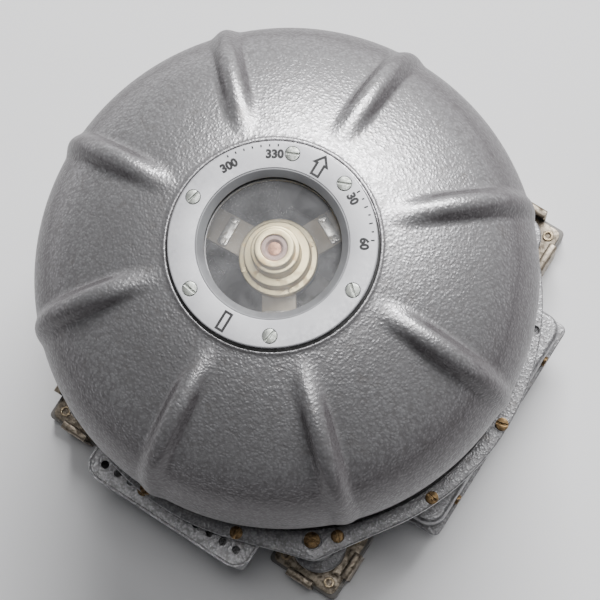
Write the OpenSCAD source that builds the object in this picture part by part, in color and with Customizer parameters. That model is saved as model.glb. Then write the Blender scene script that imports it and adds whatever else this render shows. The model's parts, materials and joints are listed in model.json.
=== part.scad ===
/* [Mounting frame] */
// Distance of the isolators' centres inside the hood's radius, left to right
iso_x_in = 50; // [46:0.5:52]
// Distance of the isolators' centres inside the hood's radius, rear to front
iso_y_in = 23; // [18:0.5:26]
// Half the width of a square corner pad
pad_half = 22; // [21:0.5:24]
// Height of a corner pad above the underside
pad_h = 12; // [10:0.5:12]
// Radius of the opening through a corner pad
pad_bore_r = 16.5; // [15:0.25:17]
// Width of the frame's rails
rail_w = 24; // [16:1:30]
// Thickness of the frame's rails
rail_t = 5; // [3:0.5:6]
// Half the distance between mounting holes, rear to front
mount_y = 52; // [30:1:70]
// Radius of a mounting hole
mount_hole_r = 3.3; // [2.2:0.1:4.5]

/* [Snubber ears] */
// Width of an ear
ear_w = 16; // [10:0.5:20]
// Sheet thickness of an ear
ear_t = 1.5; // [1:0.1:2]
// Height of an ear's top above the underside
ear_top = 30.5; // [26:0.5:34]
// Length of the lip folded in at an ear's top
ear_lip = 5; // [3:0.25:6]
// Depth of the lip's folded-down edge
ear_hem = 3; // [2:0.25:4]

/* [Isolators] */
// Half the width of an isolator plate
plate_half = 20.3; // [19.8:0.1:21]
// Thickness of an isolator plate
plate_t = 1.5; // [1:0.1:2]
// Offset of a rivet from the isolator's centre
rivet_offset = 14.5; // [14.2:0.1:15]
// Radius of a rivet's rolled head
rivet_head_r = 3.2; // [2.9:0.1:3.4]
// Radius of a rivet's tube
rivet_r = 2.4; // [2:0.05:2.6]
// Radius of a rivet's hole
rivet_bore_r = 1.6; // [1.2:0.05:1.8]
// Outer radius of the rubber where it passes the plate
rubber_r = 11; // [9:0.25:11.5]
// Height of the rubber's underside
rubber_low = 9.8; // [9.6:0.1:11]
// Outer radius of a bushing
bushing_r = 5; // [4.5:0.1:6]
// Radius of an isolator bolt
iso_bolt_r = 3; // [2.5:0.1:3.5]
// Radius of the washers above and below the rubber
washer_r = 12; // [9:0.5:13]
// Thickness of those washers
washer_t = 1.5; // [1:0.1:2]

/* [Chassis] */
// Offset of the hood's axis from the frame's centre
hood_x = 0; // [-1:0.25:1]
// Height of the clamp ring's top above the underside
flange_z = 92; // [90:0.5:98]
// Depth of the drum's side inside the hood's radius
drum_in = 15; // [14:0.5:20]
// Wall of the drum
drum_wall = 8; // [4:0.5:10]
// Height of the drum's underside
drum_low = 24; // [23:0.5:25]
// Thickness of the drum's floor
floor_t = 4; // [3:0.5:5]
// Depth of the rim's edge inside the clamp ring's edge
rim_in = 0.5; // [0:0.1:1]
// Thickness of the rim
rim_t = 10; // [8:0.5:14]
// Radius of a foot over an isolator
foot_r = 15; // [13:0.5:17]
// Thickness of a foot
foot_t = 8; // [5:0.5:12]
// Radius of the column under the lug
column_r = 9; // [7.5:0.25:10]

/* [Side box] */
// How far the side box stands out past the drum
box_out = 16; // [14:0.1:20]
// Distance of the side box's ends inside the isolators' centres
box_end_in = 36; // [33:0.5:43]
// Middle of the side box, rear to front
box_y = 5; // [0:0.5:6]
// Height of the side box's top
box_top = 50; // [48:0.5:60]
// Corner radius of the side box
box_corner_r = 10; // [6:0.5:14]
// Wall of the side box
box_wall = 2.5; // [1.5:0.1:3]
// How far the shelf reaches past the side box
shelf_lip = 2; // [1:0.1:4]
// Thickness of the shelf
shelf_t = 4; // [3:0.5:5]
// Corner radius of the shelf
shelf_corner_r = 4; // [2:0.5:8]

/* [Rear panel] */
// Width of the perforated panel
panel_w = 105; // [98:0.5:108]
// Middle of the panel, left to right
panel_x = 0.5; // [-2:0.25:3]
// How far the panel reaches past the hood's radius
panel_out = 13; // [11:0.25:14]
// Length of the panel, before the drum's side cuts it
panel_l = 60; // [56:1:64]
// Height of the panel's top
panel_top = 72; // [66:0.5:76]
// Thickness of the panel
panel_t = 2; // [1.5:0.1:3]
// Corner radius of the panel
panel_corner_r = 10; // [6:0.5:12]
// Distance of the row of holes from the panel's edge
row_in = 9.5; // [9:0.25:11]
// Pitch of the row
row_pitch = 8.6; // [8:0.05:8.8]
// Holes in the row
row_count = 11; // [9:1:11]
// Radius of a hole in the row
row_hole_r = 2.25; // [1.5:0.05:2.5]

/* [Clamp ring] */
// Width of the clamp ring outside the hood's radius
flange_out = 5.5; // [5.25:0.25:7]
// Thickness of the clamp ring
flange_t = 4; // [3:0.25:5]
// Screw positions round the clamp ring
flange_screws_n = 15; // [12:1:18]
// Direction of one of those screws
flange_screws_a = 0.6; // [-2:0.1:2]
// Distance of those screws inside the clamp ring's edge
flange_screws_in = 3.4; // [3:0.1:3.6]
// Distance of the lug's corner past its bolt
lug_out = 11; // [9.5:0.25:12.5]
// Radius that rounds the lug's corner
lug_round_r = 3; // [1:0.5:5]

/* [Hood] */
// Radius at the equator
hood_r = 127; // [126.5:0.25:128]
// How far the foot draws in from the equator
hood_foot_in = 4.4; // [4:0.1:5]
// Height from the clamp ring's top to the equator
hood_skirt = 67.5; // [64:0.5:70]
// Height from the equator to the crown
hood_rise = 80.5; // [79:0.5:82]
// Radius of the shoulder's arc
shoulder_r = 60; // [58:0.5:62]
// Wall of the hood
hood_wall = 2.5; // [2:0.1:3]
// How far the lip stands out past the foot
lip_out = 2.6; // [2:0.1:2.8]
// Thickness of that lip
lip_t = 3; // [2:0.25:3.5]
// Turn of the hood about its axis
hood_turn = 1.4; // [0:0.1:10]

/* [Ribs] */
// Ribs round the hood
rib_n = 8; // [6:1:10]
// Radius of a rib's rounded crest across its run
rib_r = 6.5; // [6.25:0.25:7]
// Wall of a rib
rib_wall = 2.5; // [2:0.1:3]
// Radius where a rib leaves the crown
rib_start_r = 60; // [58:0.5:64]
// Radius of a rib's crest along its run
rib_arc_r = 68; // [67:0.5:70]
// How far a rib stands out past the equator
rib_out = 2.5; // [2.25:0.25:3.5]
// Angle along the crest at which a rib ends, below the arc's centre
rib_end = 8; // [4:0.5:10]

/* [Window] */
// Outer radius of the window ring
ring_r = 49; // [47:0.5:50]
// Inner radius of the window ring
ring_bore_r = 36; // [35:0.25:37]
// Height of the window ring's top above the clamp ring
ring_top = 144; // [143:0.25:145]
// Height of the flat pad that the window ring sits on
pad_top = 141.2; // [140.5:0.1:141.5]
// Screws round the window ring, as angles from the front
ring_screw_a = [19, 90, 150, -19, -90, -150];
// Radius of the circle through those screws
ring_screws_r = 43.5; // [43:0.25:44]
// Inner radius of the bevelled ring
bevel_bore_r = 32.2; // [31:0.1:33]
// Thickness of the glass
glass_t = 3; // [2:0.25:3.5]

/* [Bridge] */
// Height of the bridge's top above the clamp ring
bridge_top = 108.4; // [107:0.2:109]
// Thickness of the bridge's arms
bridge_t = 6; // [4:0.5:7]
// Arms of the bridge
arms_n = 3; // [3:1:3]
// Direction of the first arm
arm_a = 63; // [55:1:70]
// Width of an arm
arm_w = 16.5; // [12:0.5:20]
// Distance of a pillar inside the drum's wall
pillar_in = 16; // [16:0.5:18]
// Radius of a pillar
pillar_r = 7; // [5:0.5:8]
// Radii of the bearing cap's steps, from its flange up
cap_r = [19.1, 16, 11.7, 9.6];
// Heights of those steps above the bridge
cap_z = [4, 11, 21, 26];

/* [Gimbals] */
// Height of the gyro's centre above the underside
gyro_z = 115; // [114:0.5:118]
// Distance of the outer gimbal's ring inside the pillars' circle
gimbal_in = 37.5; // [37.25:0.25:38]
// Wall of the outer gimbal's ring
gimbal_wall = 5; // [4.5:0.25:5.5]
// Width of the outer gimbal's ring
gimbal_w = 18; // [14:0.5:22]
// Radius of the upper azimuth journal
upper_journal_r = 5; // [4:0.1:5.5]
// Radius of the lower azimuth journal
lower_journal_r = 6; // [5:0.1:6.5]
// Radius of a trunnion
trunnion_r = 4; // [3:0.1:4.5]
// Gap between the rotor housing and the outer gimbal's ring
housing_in = 10.5; // [10.5:0.25:11.5]
// Wall of the rotor housing
housing_wall = 3; // [2:0.1:3.5]
// Gap between the rotor and its housing
rotor_gap = 2; // [1.5:0.25:4]
// Radius of the rotor's shaft
spin_r = 4; // [3:0.1:4.5]

/* [Azimuth gears] */
// Module of the teeth
gear_m = 1; // [1:0.05:1]
// Teeth on the azimuth gear
gear_n = 92; // [92:1:92]
// Teeth on a pinion
pinion_n = 32; // [30:1:32]
// Thickness of the azimuth gear
gear_t = 4; // [2:0.5:4]
// Directions of the two geared units
synchro_a = 120; // [110:1:130]
motor_a = -8; // [-20:1:0]

/* [Receptacles] */
// Half the distance between the receptacles
plug_y = 21; // [18:0.5:22]
// Height of the receptacles
plug_z = 54; // [50:0.5:58]
// Radius of a receptacle's threaded shell
shell_r = 13; // [11:0.25:14]
// Wall of that shell
shell_wall = 2; // [1.5:0.1:2.5]
// Length of that shell beyond its flange
shell_len = 14; // [12:0.5:16]
// Pins in the outer circle
pins_n = 7; // [5:1:8]

/* [Hidden] */
$fn = 96;
FN_SMALL = 32;
gap = 0.05;          // running and screw clearance, on the radius
seat = 0.3;          // clearance between soft or moving faces
over = 10;           // how far a cutter passes what it cuts
m4_r = 2;
m4_head_r = 3.45;
m4_head_h = 2.4;
m3_r = 1.5;
m3_head_r = 2.8;
m3_head_h = 1.8;
slot_w = 1;

// Plan sizes that follow the hood's radius
flange_r = hood_r + flange_out;
flange_bore_r = hood_r - hood_foot_in + 1;
flange_screws_r = flange_r - flange_screws_in;
rim_r = flange_r - rim_in;
hood_foot_r = hood_r - hood_foot_in;
lip_r = hood_foot_r + lip_out;
drum_r = hood_r - drum_in;
drum_bore_r = drum_r - drum_wall;
iso_x = hood_r - iso_x_in;
iso_y = hood_r - iso_y_in;
mount_x = iso_x;
lug_at = [iso_x - hood_x, -iso_y];
lug_r = norm(lug_at) + lug_out;
box_x = hood_x + drum_r + box_out;
box_half = iso_y - box_end_in;
panel_y = -hood_r - panel_out;
row_y = panel_y + row_in;
pillar_at = drum_bore_r - pillar_in;
gimbal_r = pillar_at - gimbal_in;
gimbal_bore_r = gimbal_r - gimbal_wall;
nose_y = gimbal_bore_r - 4;      // ends of the rotor housing, which pass through the gimbal's ring
cover_step_y = nose_y - 6.5;
housing_half = nose_y - 14.5;
housing_r = gimbal_bore_r - housing_in;
rotor_r = housing_r - housing_wall - rotor_gap;
rotor_half = 7 / 9 * housing_half;
shelf_in = 64;
shelf_x = drum_bore_r - shelf_in; // inner end of the shelf, from the axis
base_r = drum_bore_r - 20;       // bottom cover's flange
base_screws_r = base_r - 6;
base_screws_n = 6;
base_step_r = base_r - 14;
base_t = 1.5;
base_step_h = 4.5;
shelf_z = drum_low + 2;
collar_h = 3;

rim_top = flange_z - flange_t;
rim_low = rim_top - rim_t;
gasket_t = 1.5;
recess_z = rim_top - lip_t - gasket_t;
recess_r = lip_r + 0.5;
floor_top = drum_low + floor_t;
rubber_h = 14.2;
foot_low = rubber_low + rubber_h + washer_t;
foot_top = foot_low + foot_t;
foot_step = 1;
foot_arm_half = foot_r - foot_step;
nut_t = 4;
travel = 3;
// The lower washer keeps clear of the plate at the end of the upward travel
bushing_low = min(rubber_low - seat, pad_h - travel - 0.1);
bolt_low = bushing_low - washer_t - nut_t;

hood_z = flange_z + hood_skirt;
crown_arc_r = (hood_r * hood_r + hood_rise * hood_rise - 2 * hood_r * shoulder_r)
    / (2 * (hood_rise - shoulder_r));
crown_arc_z = hood_rise - crown_arc_r;
shoulder_x = hood_r - shoulder_r;
rib_arc_x = hood_r + rib_out - rib_arc_r;
rib_arc_z = crown_arc_z + sqrt(pow(crown_arc_r, 2) - pow(rib_start_r, 2))
    - sqrt(pow(rib_arc_r, 2) - pow(rib_start_r - rib_arc_x, 2));
// Angle along the crest at which a rib's core has sunk into the crown
rib_top_a = 94;

ring_z = flange_z + ring_top;
pad_z = flange_z + pad_top;
ring_screw_in = 1.6;
window_bore_r = ring_bore_r + 5;
ledge_z = ring_z - 10;
ledge_t = 1.5;
window_gasket_t = 0.8;
glass_z = ledge_z + ledge_t + window_gasket_t;

bridge_z = flange_z + bridge_top;
bridge_low = bridge_z - bridge_t;
cap_top = bridge_z + cap_z[3];
upper_bearing_r = 11;
bearing_w = 6;
lower_bearing_r = 12;
lower_boss_top = floor_top + 8;
lower_bearing_z = lower_boss_top - bearing_w;

gear_r = gear_m * gear_n / 2;
pinion_r = gear_m * pinion_n / 2;
drive_at = gear_r + pinion_r;
gear_low = lower_boss_top + 2;
pinion_t = gear_t;
drive_plate_z = gear_low + gear_t + 1.3;
drive_plate_t = 2;
drive_z = drive_plate_z + drive_plate_t;
drive_r = 15;
drive_h = 26;
drive_shaft_r = 2.5;

hub_r = 10;
trunnion_in = gimbal_bore_r - 1;
trunnion_out = gimbal_r + 9.5;
trunnion_bearing_r = 9;
boss_r = 13;
torquer_r = 18;
torquer_len = 14;
weight_len = 16.4;               // balances the levelling motor

cover_r = housing_r - 1;
cover_step_r = housing_r - 9;
nose_r = 13;
spin_bearing_r = 9.5;
spin_bearing_y = nose_y - 3.5 - bearing_w;

left_face = hood_x - drum_r - 4;
plug_flange = 32;
plug_flange_t = 3;
pin_len = 6;
pin_free = 5.5;
pin_r = 1;
insert_back = 17;
pin_back = 20;

module at_isolators() {
    for (sx = [-1, 1], sy = [-1, 1]) translate([sx * iso_x, sy * iso_y, 0]) children();
}
module at_plain_isolators() {
    for (s = [[-1, -1], [-1, 1], [1, 1]]) translate([s[0] * iso_x, s[1] * iso_y, 0]) children();
}
module at_hood_axis() { translate([hood_x, 0, 0]) children(); }

module round_rect(w, l, r) {
    square([w - 2 * r, l], center = true);
    square([w, l - 2 * r], center = true);
    for (sx = [-1, 1], sy = [-1, 1]) translate([sx * (w / 2 - r), sy * (l / 2 - r)]) circle(r = r);
}
module tube(r, bore, h) {
    difference() {
        cylinder(r = r, h = h);
        translate([0, 0, -1]) cylinder(r = bore, h = h + 2);
    }
}
// A slotted cheese-head screw, head upwards, seated at its own origin
module slotted_screw(head_r, head_h, shank_r, length) {
    difference() {
        union() {
            cylinder(r = head_r, h = head_h, $fn = FN_SMALL);
            translate([0, 0, -length]) cylinder(r = shank_r, h = length + 1, $fn = FN_SMALL);
        }
        translate([0, 0, head_h]) cube([2 * head_r + 1, slot_w, head_h], center = true);
    }
}
module hex(r, h) { cylinder(r = r, h = h, $fn = 6); }
module ball_ring(at, r, n) {
    for (k = [0 : n - 1]) rotate(360 * k / n) translate([at, 0, 0]) sphere(r = r, $fn = 24);
}
// Race widths: a ring takes 0.32 of the section, the balls run between the rings
module bearing_outer(bore, r, w, n) {
    section = r - bore;
    tube(r, r - 0.32 * section, w);
    translate([0, 0, w / 2]) ball_ring(r - section / 2, 0.18 * section - gap, n);
}
module bearing_inner(bore, r, w) { tube(bore + 0.32 * (r - bore), bore, w); }
// A spur wheel with straight-flanked teeth and backlash
module gear_2d(n, m, bore) {
    difference() {
        union() {
            circle(r = m * n / 2 - 1.1 * m);
            for (k = [0 : n - 1]) rotate(360 * k / n) polygon([
                [m * n / 2 - 1.3 * m, -0.95 * m], [m * n / 2, -0.62 * m], [m * n / 2 + 0.75 * m, -0.3 * m],
                [m * n / 2 + 0.75 * m, 0.3 * m], [m * n / 2, 0.62 * m], [m * n / 2 - 1.3 * m, 0.95 * m]]);
        }
        circle(r = bore);
    }
}

module mounting_frame() {
    color("#8f8a80") difference() {
        union() {
            for (s = [-1, 1]) {
                translate([s * iso_x, 0, rail_t / 2]) cube([rail_w, 2 * iso_y, rail_t], center = true);
                translate([0, s * iso_y, rail_t / 2]) cube([2 * iso_x, rail_w, rail_t], center = true);
            }
            at_isolators() linear_extrude(pad_h) round_rect(2 * pad_half, 2 * pad_half, 3);
        }
        at_isolators() {
            translate([0, 0, -1]) cylinder(r = pad_bore_r, h = pad_h + 2);
            for (sx = [-1, 1], sy = [-1, 1]) translate([sx * rivet_offset, sy * rivet_offset, -1])
                cylinder(r = rivet_r + gap, h = pad_h + 2, $fn = FN_SMALL);
        }
        for (sx = [-1, 1], sy = [-1, 1]) translate([sx * mount_x, sy * mount_y, -1])
            cylinder(r = mount_hole_r, h = rail_t + 2, $fn = FN_SMALL);
    }
}

// One ear against a pad's +X face: a leg, a lip folded in and the lip's hem
module ear() {
    translate([pad_half, -ear_w / 2, 0.5]) cube([ear_t, ear_w, ear_top - 0.5]);
    translate([pad_half + ear_t - ear_lip, -ear_w / 2, ear_top - ear_t]) cube([ear_lip, ear_w, ear_t]);
    translate([pad_half + ear_t - ear_lip, -ear_w / 2, ear_top - ear_hem]) cube([ear_t, ear_w, ear_hem]);
}
module snubber_ears() {
    color("#9a8f7d") for (sx = [-1, 1], sy = [-1, 1]) translate([sx * iso_x, sy * iso_y, 0]) {
        rotate(sx > 0 ? 0 : 180) ear();
        rotate(90 * sy) ear();
    }
}

module isolator_plates() {
    color("#a39a8a") at_isolators() difference() {
        union() {
            translate([0, 0, pad_h]) linear_extrude(plate_t) round_rect(2 * plate_half, 2 * plate_half, 4);
            translate([0, 0, pad_h]) cylinder(r = rubber_r + 2, h = plate_t + collar_h);
        }
        translate([0, 0, pad_h - 1]) cylinder(r = rubber_r, h = plate_t + collar_h + 2);
        for (sx = [-1, 1], sy = [-1, 1]) translate([sx * rivet_offset, sy * rivet_offset, pad_h - 1])
            cylinder(r = rivet_r + gap, h = plate_t + 2, $fn = FN_SMALL);
    }
}
module isolator_rivets() {
    color("#b3a283") at_isolators() for (sx = [-1, 1], sy = [-1, 1])
        translate([sx * rivet_offset, sy * rivet_offset, 0]) difference() {
            union() {
                translate([0, 0, 1]) cylinder(r = rivet_r, h = pad_h + plate_t, $fn = FN_SMALL);
                translate([0, 0, pad_h + plate_t]) cylinder(r = rivet_head_r, h = 1, $fn = FN_SMALL);
            }
            cylinder(r = rivet_bore_r, h = pad_h + plate_t + 3, $fn = FN_SMALL);
        }
}
module isolator_rubbers() {
    bore = bushing_r + seat;
    collar_top = pad_h + plate_t + collar_h;
    color("#2b2622") at_isolators() rotate_extrude() union() {
        translate([bore, rubber_low]) square([rubber_r - bore, foot_low - washer_t - seat - rubber_low]);
        translate([bore, collar_top]) square([rubber_r + 2 - bore, foot_low - washer_t - seat - collar_top - 1]);
        translate([bore, rubber_low]) square([rubber_r + 2 - bore, pad_h - rubber_low]);
    }
}
module isolator_bushings() {
    color("#b8b2a4") at_isolators() {
        translate([0, 0, bushing_low]) tube(bushing_r, iso_bolt_r + gap, foot_low - washer_t - bushing_low);
        translate([0, 0, foot_low - washer_t]) tube(washer_r, iso_bolt_r + gap, washer_t);
        translate([0, 0, bushing_low - washer_t]) tube(washer_r, iso_bolt_r + gap, washer_t);
    }
}
module isolator_nut() {
    translate([0, 0, bolt_low]) difference() {
        hex(iso_bolt_r * 1.9, nut_t);
        translate([0, 0, -1]) cylinder(r = iso_bolt_r + gap, h = nut_t + 2, $fn = FN_SMALL);
    }
}
module isolator_bolts() {
    color("#8c8478") {
        at_plain_isolators() {
            translate([0, 0, bolt_low]) cylinder(r = iso_bolt_r, h = foot_top - bolt_low + 1, $fn = FN_SMALL);
            translate([0, 0, foot_top]) hex(iso_bolt_r * 1.8, nut_t);
        }
        at_isolators() isolator_nut();
    }
}

function flange_screw_at(k) = flange_screws_a + 360 * k / flange_screws_n;

// A rounded corner whose sides run off nearly tangent to the round plate that carries it
module lug_outline(big_r, corner_r, round_r) {
    centre = corner_r - round_r;
    a = acos((big_r - round_r) / centre);
    side = (big_r - 1) * [cos(a), sin(a)];
    rotate(atan2(lug_at[1], lug_at[0]))
        polygon(concat([[0, 0], [side[0], -side[1]]],
            [for (k = [-4 : 4]) [centre, 0] + round_r * [cos(a * k / 4), sin(a * k / 4)]], [side]));
}
module shelf_2d(half_l, x_out, corner_r) {
    x_in = hood_x + shelf_x;
    translate([(x_in + x_out) / 2, box_y]) round_rect(x_out - x_in, 2 * half_l, corner_r);
}
arm_half = panel_w / 2 - 3;
arm_h = 30;
arm_wall = 3;
arm_well = 40;                   // length of the tray's hollow
arm_end = -drum_bore_r + 10;     // front end of the tray, inside the drum's wall
arm_low = panel_top - panel_t - arm_h;
screw_item = 3;
plug_pad_depth = 20;
plug_pad_half = 20;
function row_at(k) = panel_x + (k - (row_count - 1) / 2) * row_pitch;

module chassis() {
    color("#9b9c9e") difference() {
        union() {
            at_hood_axis() {
                translate([0, 0, drum_low]) cylinder(r = drum_r, h = rim_top - drum_low);
                translate([0, 0, rim_low]) cylinder(r = rim_r, h = rim_t);
                translate([0, 0, rim_low]) linear_extrude(rim_t) lug_outline(rim_r, lug_r - 1, lug_round_r);
            }
            at_isolators() translate([0, 0, foot_low]) cylinder(r = foot_r, h = foot_t);
            for (sx = [-1, 1], sy = [-1, 1]) {
                a = atan2(sy * iso_y, sx * iso_x - hood_x);
                reach = norm([sy * iso_y, sx * iso_x - hood_x]);
                at_hood_axis() rotate(a) translate([drum_bore_r + 2, -foot_arm_half, foot_low + foot_step])
                    cube([reach - iso_bolt_r - drum_bore_r - 4, 2 * foot_arm_half, foot_t - 2 * foot_step]);
            }
            translate([iso_x, -iso_y, foot_low]) cylinder(r = column_r, h = rim_top - foot_low);
            translate([0, 0, shelf_z]) linear_extrude(shelf_t)
                shelf_2d(box_half + shelf_lip, box_x + shelf_lip, shelf_corner_r);
            // Rear arm, a tray that the perforated panel closes
            translate([panel_x - arm_half, panel_y + 1, arm_low])
                cube([2 * arm_half, arm_end - panel_y - 1, arm_h]);
            // Flat pad for the receptacles
            translate([left_face, -2 * plug_y, plug_z - plug_pad_half])
                cube([plug_pad_depth, 4 * plug_y, 2 * plug_pad_half]);
        }
        at_hood_axis() {
            translate([0, 0, floor_top]) cylinder(r = drum_bore_r, h = flange_z);
            translate([0, 0, recess_z]) cylinder(r = recess_r, h = flange_z);
            for (k = [0 : flange_screws_n - 1]) rotate(flange_screw_at(k))
                translate([flange_screws_r, 0, rim_low - 1]) cylinder(r = m4_r + gap, h = rim_t + 2, $fn = FN_SMALL);
            for (k = [0 : arms_n - 1]) rotate(arm_a + 360 * k / arms_n)
                translate([pillar_at, 0, drum_low - 1]) cylinder(r = m4_r + gap, h = floor_t + 2, $fn = FN_SMALL);
            bottom_screw_holes(m3_r + gap, drum_low - 1, floor_t - 1);
        }
        at_isolators() translate([0, 0, foot_low - 1]) cylinder(r = iso_bolt_r + gap, h = flange_z, $fn = FN_SMALL);
        // Spot faces that clear the upper washers
        at_isolators() translate([0, 0, drum_low - 1]) cylinder(r = washer_r + 1, h = foot_low - drum_low + 1);
        difference() {
            translate([panel_x - arm_half + arm_wall, panel_y + 1 + arm_wall, arm_low + arm_wall])
                cube([2 * (arm_half - arm_wall), arm_well, arm_h + 1]);
            at_hood_axis() cylinder(r = drum_r, h = rim_low);
            at_hood_axis() translate([0, 0, rim_low]) cylinder(r = rim_r + 1, h = rim_t + over);
            translate([row_at(screw_item), row_y, arm_low]) cylinder(r = 2 * m4_r, h = arm_h + over, $fn = FN_SMALL);
            translate([row_at(screw_item) - 2 * m4_r, panel_y, arm_low])
                cube([4 * m4_r, row_y - panel_y, arm_h + over]);
        }
        translate([row_at(screw_item), row_y, panel_top - panel_t - 8]) cylinder(r = m4_r + gap, h = 8 + over, $fn = FN_SMALL);
        // Bores behind the receptacles, through the pad and the drum's wall
        for (s = [-1, 1]) translate([left_face, s * plug_y, plug_z]) {
            rotate([0, 90, 0]) translate([0, 0, -1])
                cylinder(r = shell_r - shell_wall + gap, h = plug_pad_depth + drum_wall + 6);
            plug_screw_holes();
        }
    }
    // Boss of the lower azimuth bearing
    color("#9b9c9e") at_hood_axis() translate([0, 0, floor_top]) difference() {
        cylinder(r = lower_bearing_r + 5, h = lower_boss_top - floor_top);
        translate([0, 0, lower_bearing_z - floor_top]) cylinder(r = lower_bearing_r, h = 20);
    }
}
module plug_screw_holes() {
    for (sy = [-1, 1], sz = [-1, 1]) translate([-1, sy * (plug_flange / 2 - 4), sz * (plug_flange / 2 - 4)])
        rotate([0, 90, 0]) cylinder(r = m3_r + gap, h = 9, $fn = FN_SMALL);
}
module at_base_screws() {
    for (k = [0 : base_screws_n - 1]) rotate(360 / base_screws_n * (k + 0.5))
        translate([base_screws_r, 0, 0]) children();
}
module bottom_screw_holes(r, low, h) {
    at_base_screws() translate([0, 0, low]) cylinder(r = r, h = h, $fn = FN_SMALL);
}
module bottom_cover() {
    color("#8e9092") at_hood_axis() difference() {
        union() {
            translate([0, 0, drum_low - base_t]) cylinder(r = base_r, h = base_t);
            translate([0, 0, drum_low - base_step_h]) cylinder(r = base_step_r, h = base_step_h);
        }
        translate([0, 0, drum_low - base_step_h + base_t]) cylinder(r = base_step_r - base_t, h = base_step_h);
        bottom_screw_holes(m3_r + gap, drum_low - base_step_h, 2 * base_step_h);
    }
}
module bottom_cover_screws() {
    color("#a08a55") at_hood_axis() at_base_screws() translate([0, 0, drum_low - base_t]) rotate([180, 0, 0])
        slotted_screw(m3_head_r, m3_head_h, m3_r, 2 * base_t);
}

module box_outline(inset) {
    shelf_2d(box_half - inset, box_x - inset, box_corner_r - inset);
}
box_low = shelf_z + shelf_t;
box_screw_in = 22;
box_screw_z = box_low + 6;
relay_w = 12;
relay_h = 14;
relay_in = 14;
relay_gap = 5;
module side_box() {
    color("#a3a5a8") difference() {
        translate([0, 0, box_low]) linear_extrude(box_top - box_low) box_outline(0);
        difference() {
            translate([0, 0, box_low - 1]) linear_extrude(box_top - box_low + 1 - box_wall) box_outline(box_wall);
            at_hood_axis() cylinder(r = drum_r + seat + box_wall, h = 200);
        }
        at_hood_axis() cylinder(r = drum_r + seat, h = 200);
        at_isolators() translate([0, 0, box_low - 1]) cylinder(r = foot_r + 1, h = foot_top + 1 - box_low);
        side_box_holes();
    }
}
module side_box_holes() {
    for (s = [-1, 0, 1]) translate([box_x - box_wall - 1, box_y + s * (box_half - box_screw_in), box_screw_z])
        rotate([0, 90, 0]) cylinder(r = m3_r + gap, h = box_wall + 2, $fn = FN_SMALL);
}
module side_box_screws() {
    color("#a08a55") for (s = [-1, 0, 1]) translate([box_x, box_y + s * (box_half - box_screw_in), box_screw_z])
        rotate([0, 90, 0]) slotted_screw(m3_head_r, m3_head_h, m3_r, box_wall + 4);
}
module relays() {
    color("#55585c") for (s = [-1, 1])
        translate([box_x - box_wall - relay_gap - relay_w, box_y + s * (box_half - relay_in) - relay_w / 2, box_low])
            cube([relay_w, relay_w, relay_h]);
}
module rear_panel() {
    color("#8d8f92") difference() {
        translate([0, 0, panel_top - panel_t]) linear_extrude(panel_t) difference() {
            translate([panel_x, panel_y + panel_l / 2]) round_rect(panel_w, panel_l, panel_corner_r);
            translate([hood_x, 0]) circle(r = drum_r + seat);
        }
        for (k = [0 : row_count - 1]) translate([row_at(k), row_y, panel_top - panel_t - 1])
            cylinder(r = row_hole_r, h = panel_t + 2, $fn = FN_SMALL);
    }
}
module rear_panel_screw() {
    color("#8a6a3c") translate([row_at(screw_item), row_y, panel_top])
        slotted_screw(m4_head_r, m4_head_h, m4_r, panel_t + 5);
}

module at_plugs() {
    for (s = [-1, 1]) translate([left_face, s * plug_y, plug_z]) rotate([0, -90, 0]) children();
}
// Local +Z leaves the chassis here
module receptacle_shells() {
    color("#a8a9a4") at_plugs() difference() {
        union() {
            linear_extrude(plug_flange_t) round_rect(plug_flange, plug_flange, 3);
            cylinder(r = shell_r, h = plug_flange_t + shell_len);
        }
        translate([0, 0, -1]) cylinder(r = shell_r - shell_wall, h = shell_len + 10);
        for (sy = [-1, 1], sx = [-1, 1]) translate([sx * (plug_flange / 2 - 4), sy * (plug_flange / 2 - 4), -1])
            cylinder(r = m3_r + gap, h = plug_flange_t + 2, $fn = FN_SMALL);
    }
}
insert_top = plug_flange_t + shell_len - pin_free - pin_len;
module receptacle_inserts() {
    color("#3a3028") at_plugs() translate([0, 0, -insert_back]) difference() {
        cylinder(r = shell_r - shell_wall, h = insert_top + insert_back);
        for (a = pin_spots()) translate([a[0], a[1], -1])
            cylinder(r = pin_r + gap, h = insert_top + insert_back + 2, $fn = FN_SMALL);
    }
}
function pin_spots() = concat([[0, 0]], [for (k = [0 : pins_n - 1])
    0.62 * (shell_r - shell_wall) * [cos(360 * k / pins_n), sin(360 * k / pins_n)]]);
module receptacle_pins() {
    color("#c9a74a") at_plugs() for (a = pin_spots()) translate([a[0], a[1], -pin_back])
        cylinder(r = pin_r, h = insert_top + pin_back + pin_len, $fn = FN_SMALL);
}
module receptacle_screws() {
    color("#a08a55") at_plugs() for (sy = [-1, 1], sx = [-1, 1])
        translate([sx * (plug_flange / 2 - 4), sy * (plug_flange / 2 - 4), plug_flange_t])
            slotted_screw(m3_head_r, m3_head_h, m3_r, plug_flange_t + 4);
}

board_y = drum_bore_r - 20;
board_w = 56;
module terminal_board() {
    color("#6b4a2c") translate([hood_x - board_w / 2, board_y, floor_top]) difference() {
        cube([board_w, 3, 26]);
        for (k = [0 : 6]) translate([7 + 7 * k, -1, 17]) rotate([-90, 0, 0])
            cylinder(r = 1.5, h = 5, $fn = FN_SMALL);
    }
    color("#c9a74a") for (k = [0 : 6]) translate([hood_x - board_w / 2 + 7 + 7 * k, board_y - 3, floor_top + 17])
        rotate([-90, 0, 0]) cylinder(r = 1.5, h = 9, $fn = FN_SMALL);
}
// The laced loom is square in section. It rises at the contacts' ends and runs along the drum's wall to the board
loom_w = 6;
loom_at = drum_bore_r - 4.7;
loom_low = floor_top + 1;
loom_end_a = 125;
bar_w = loom_w - 1;
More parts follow.
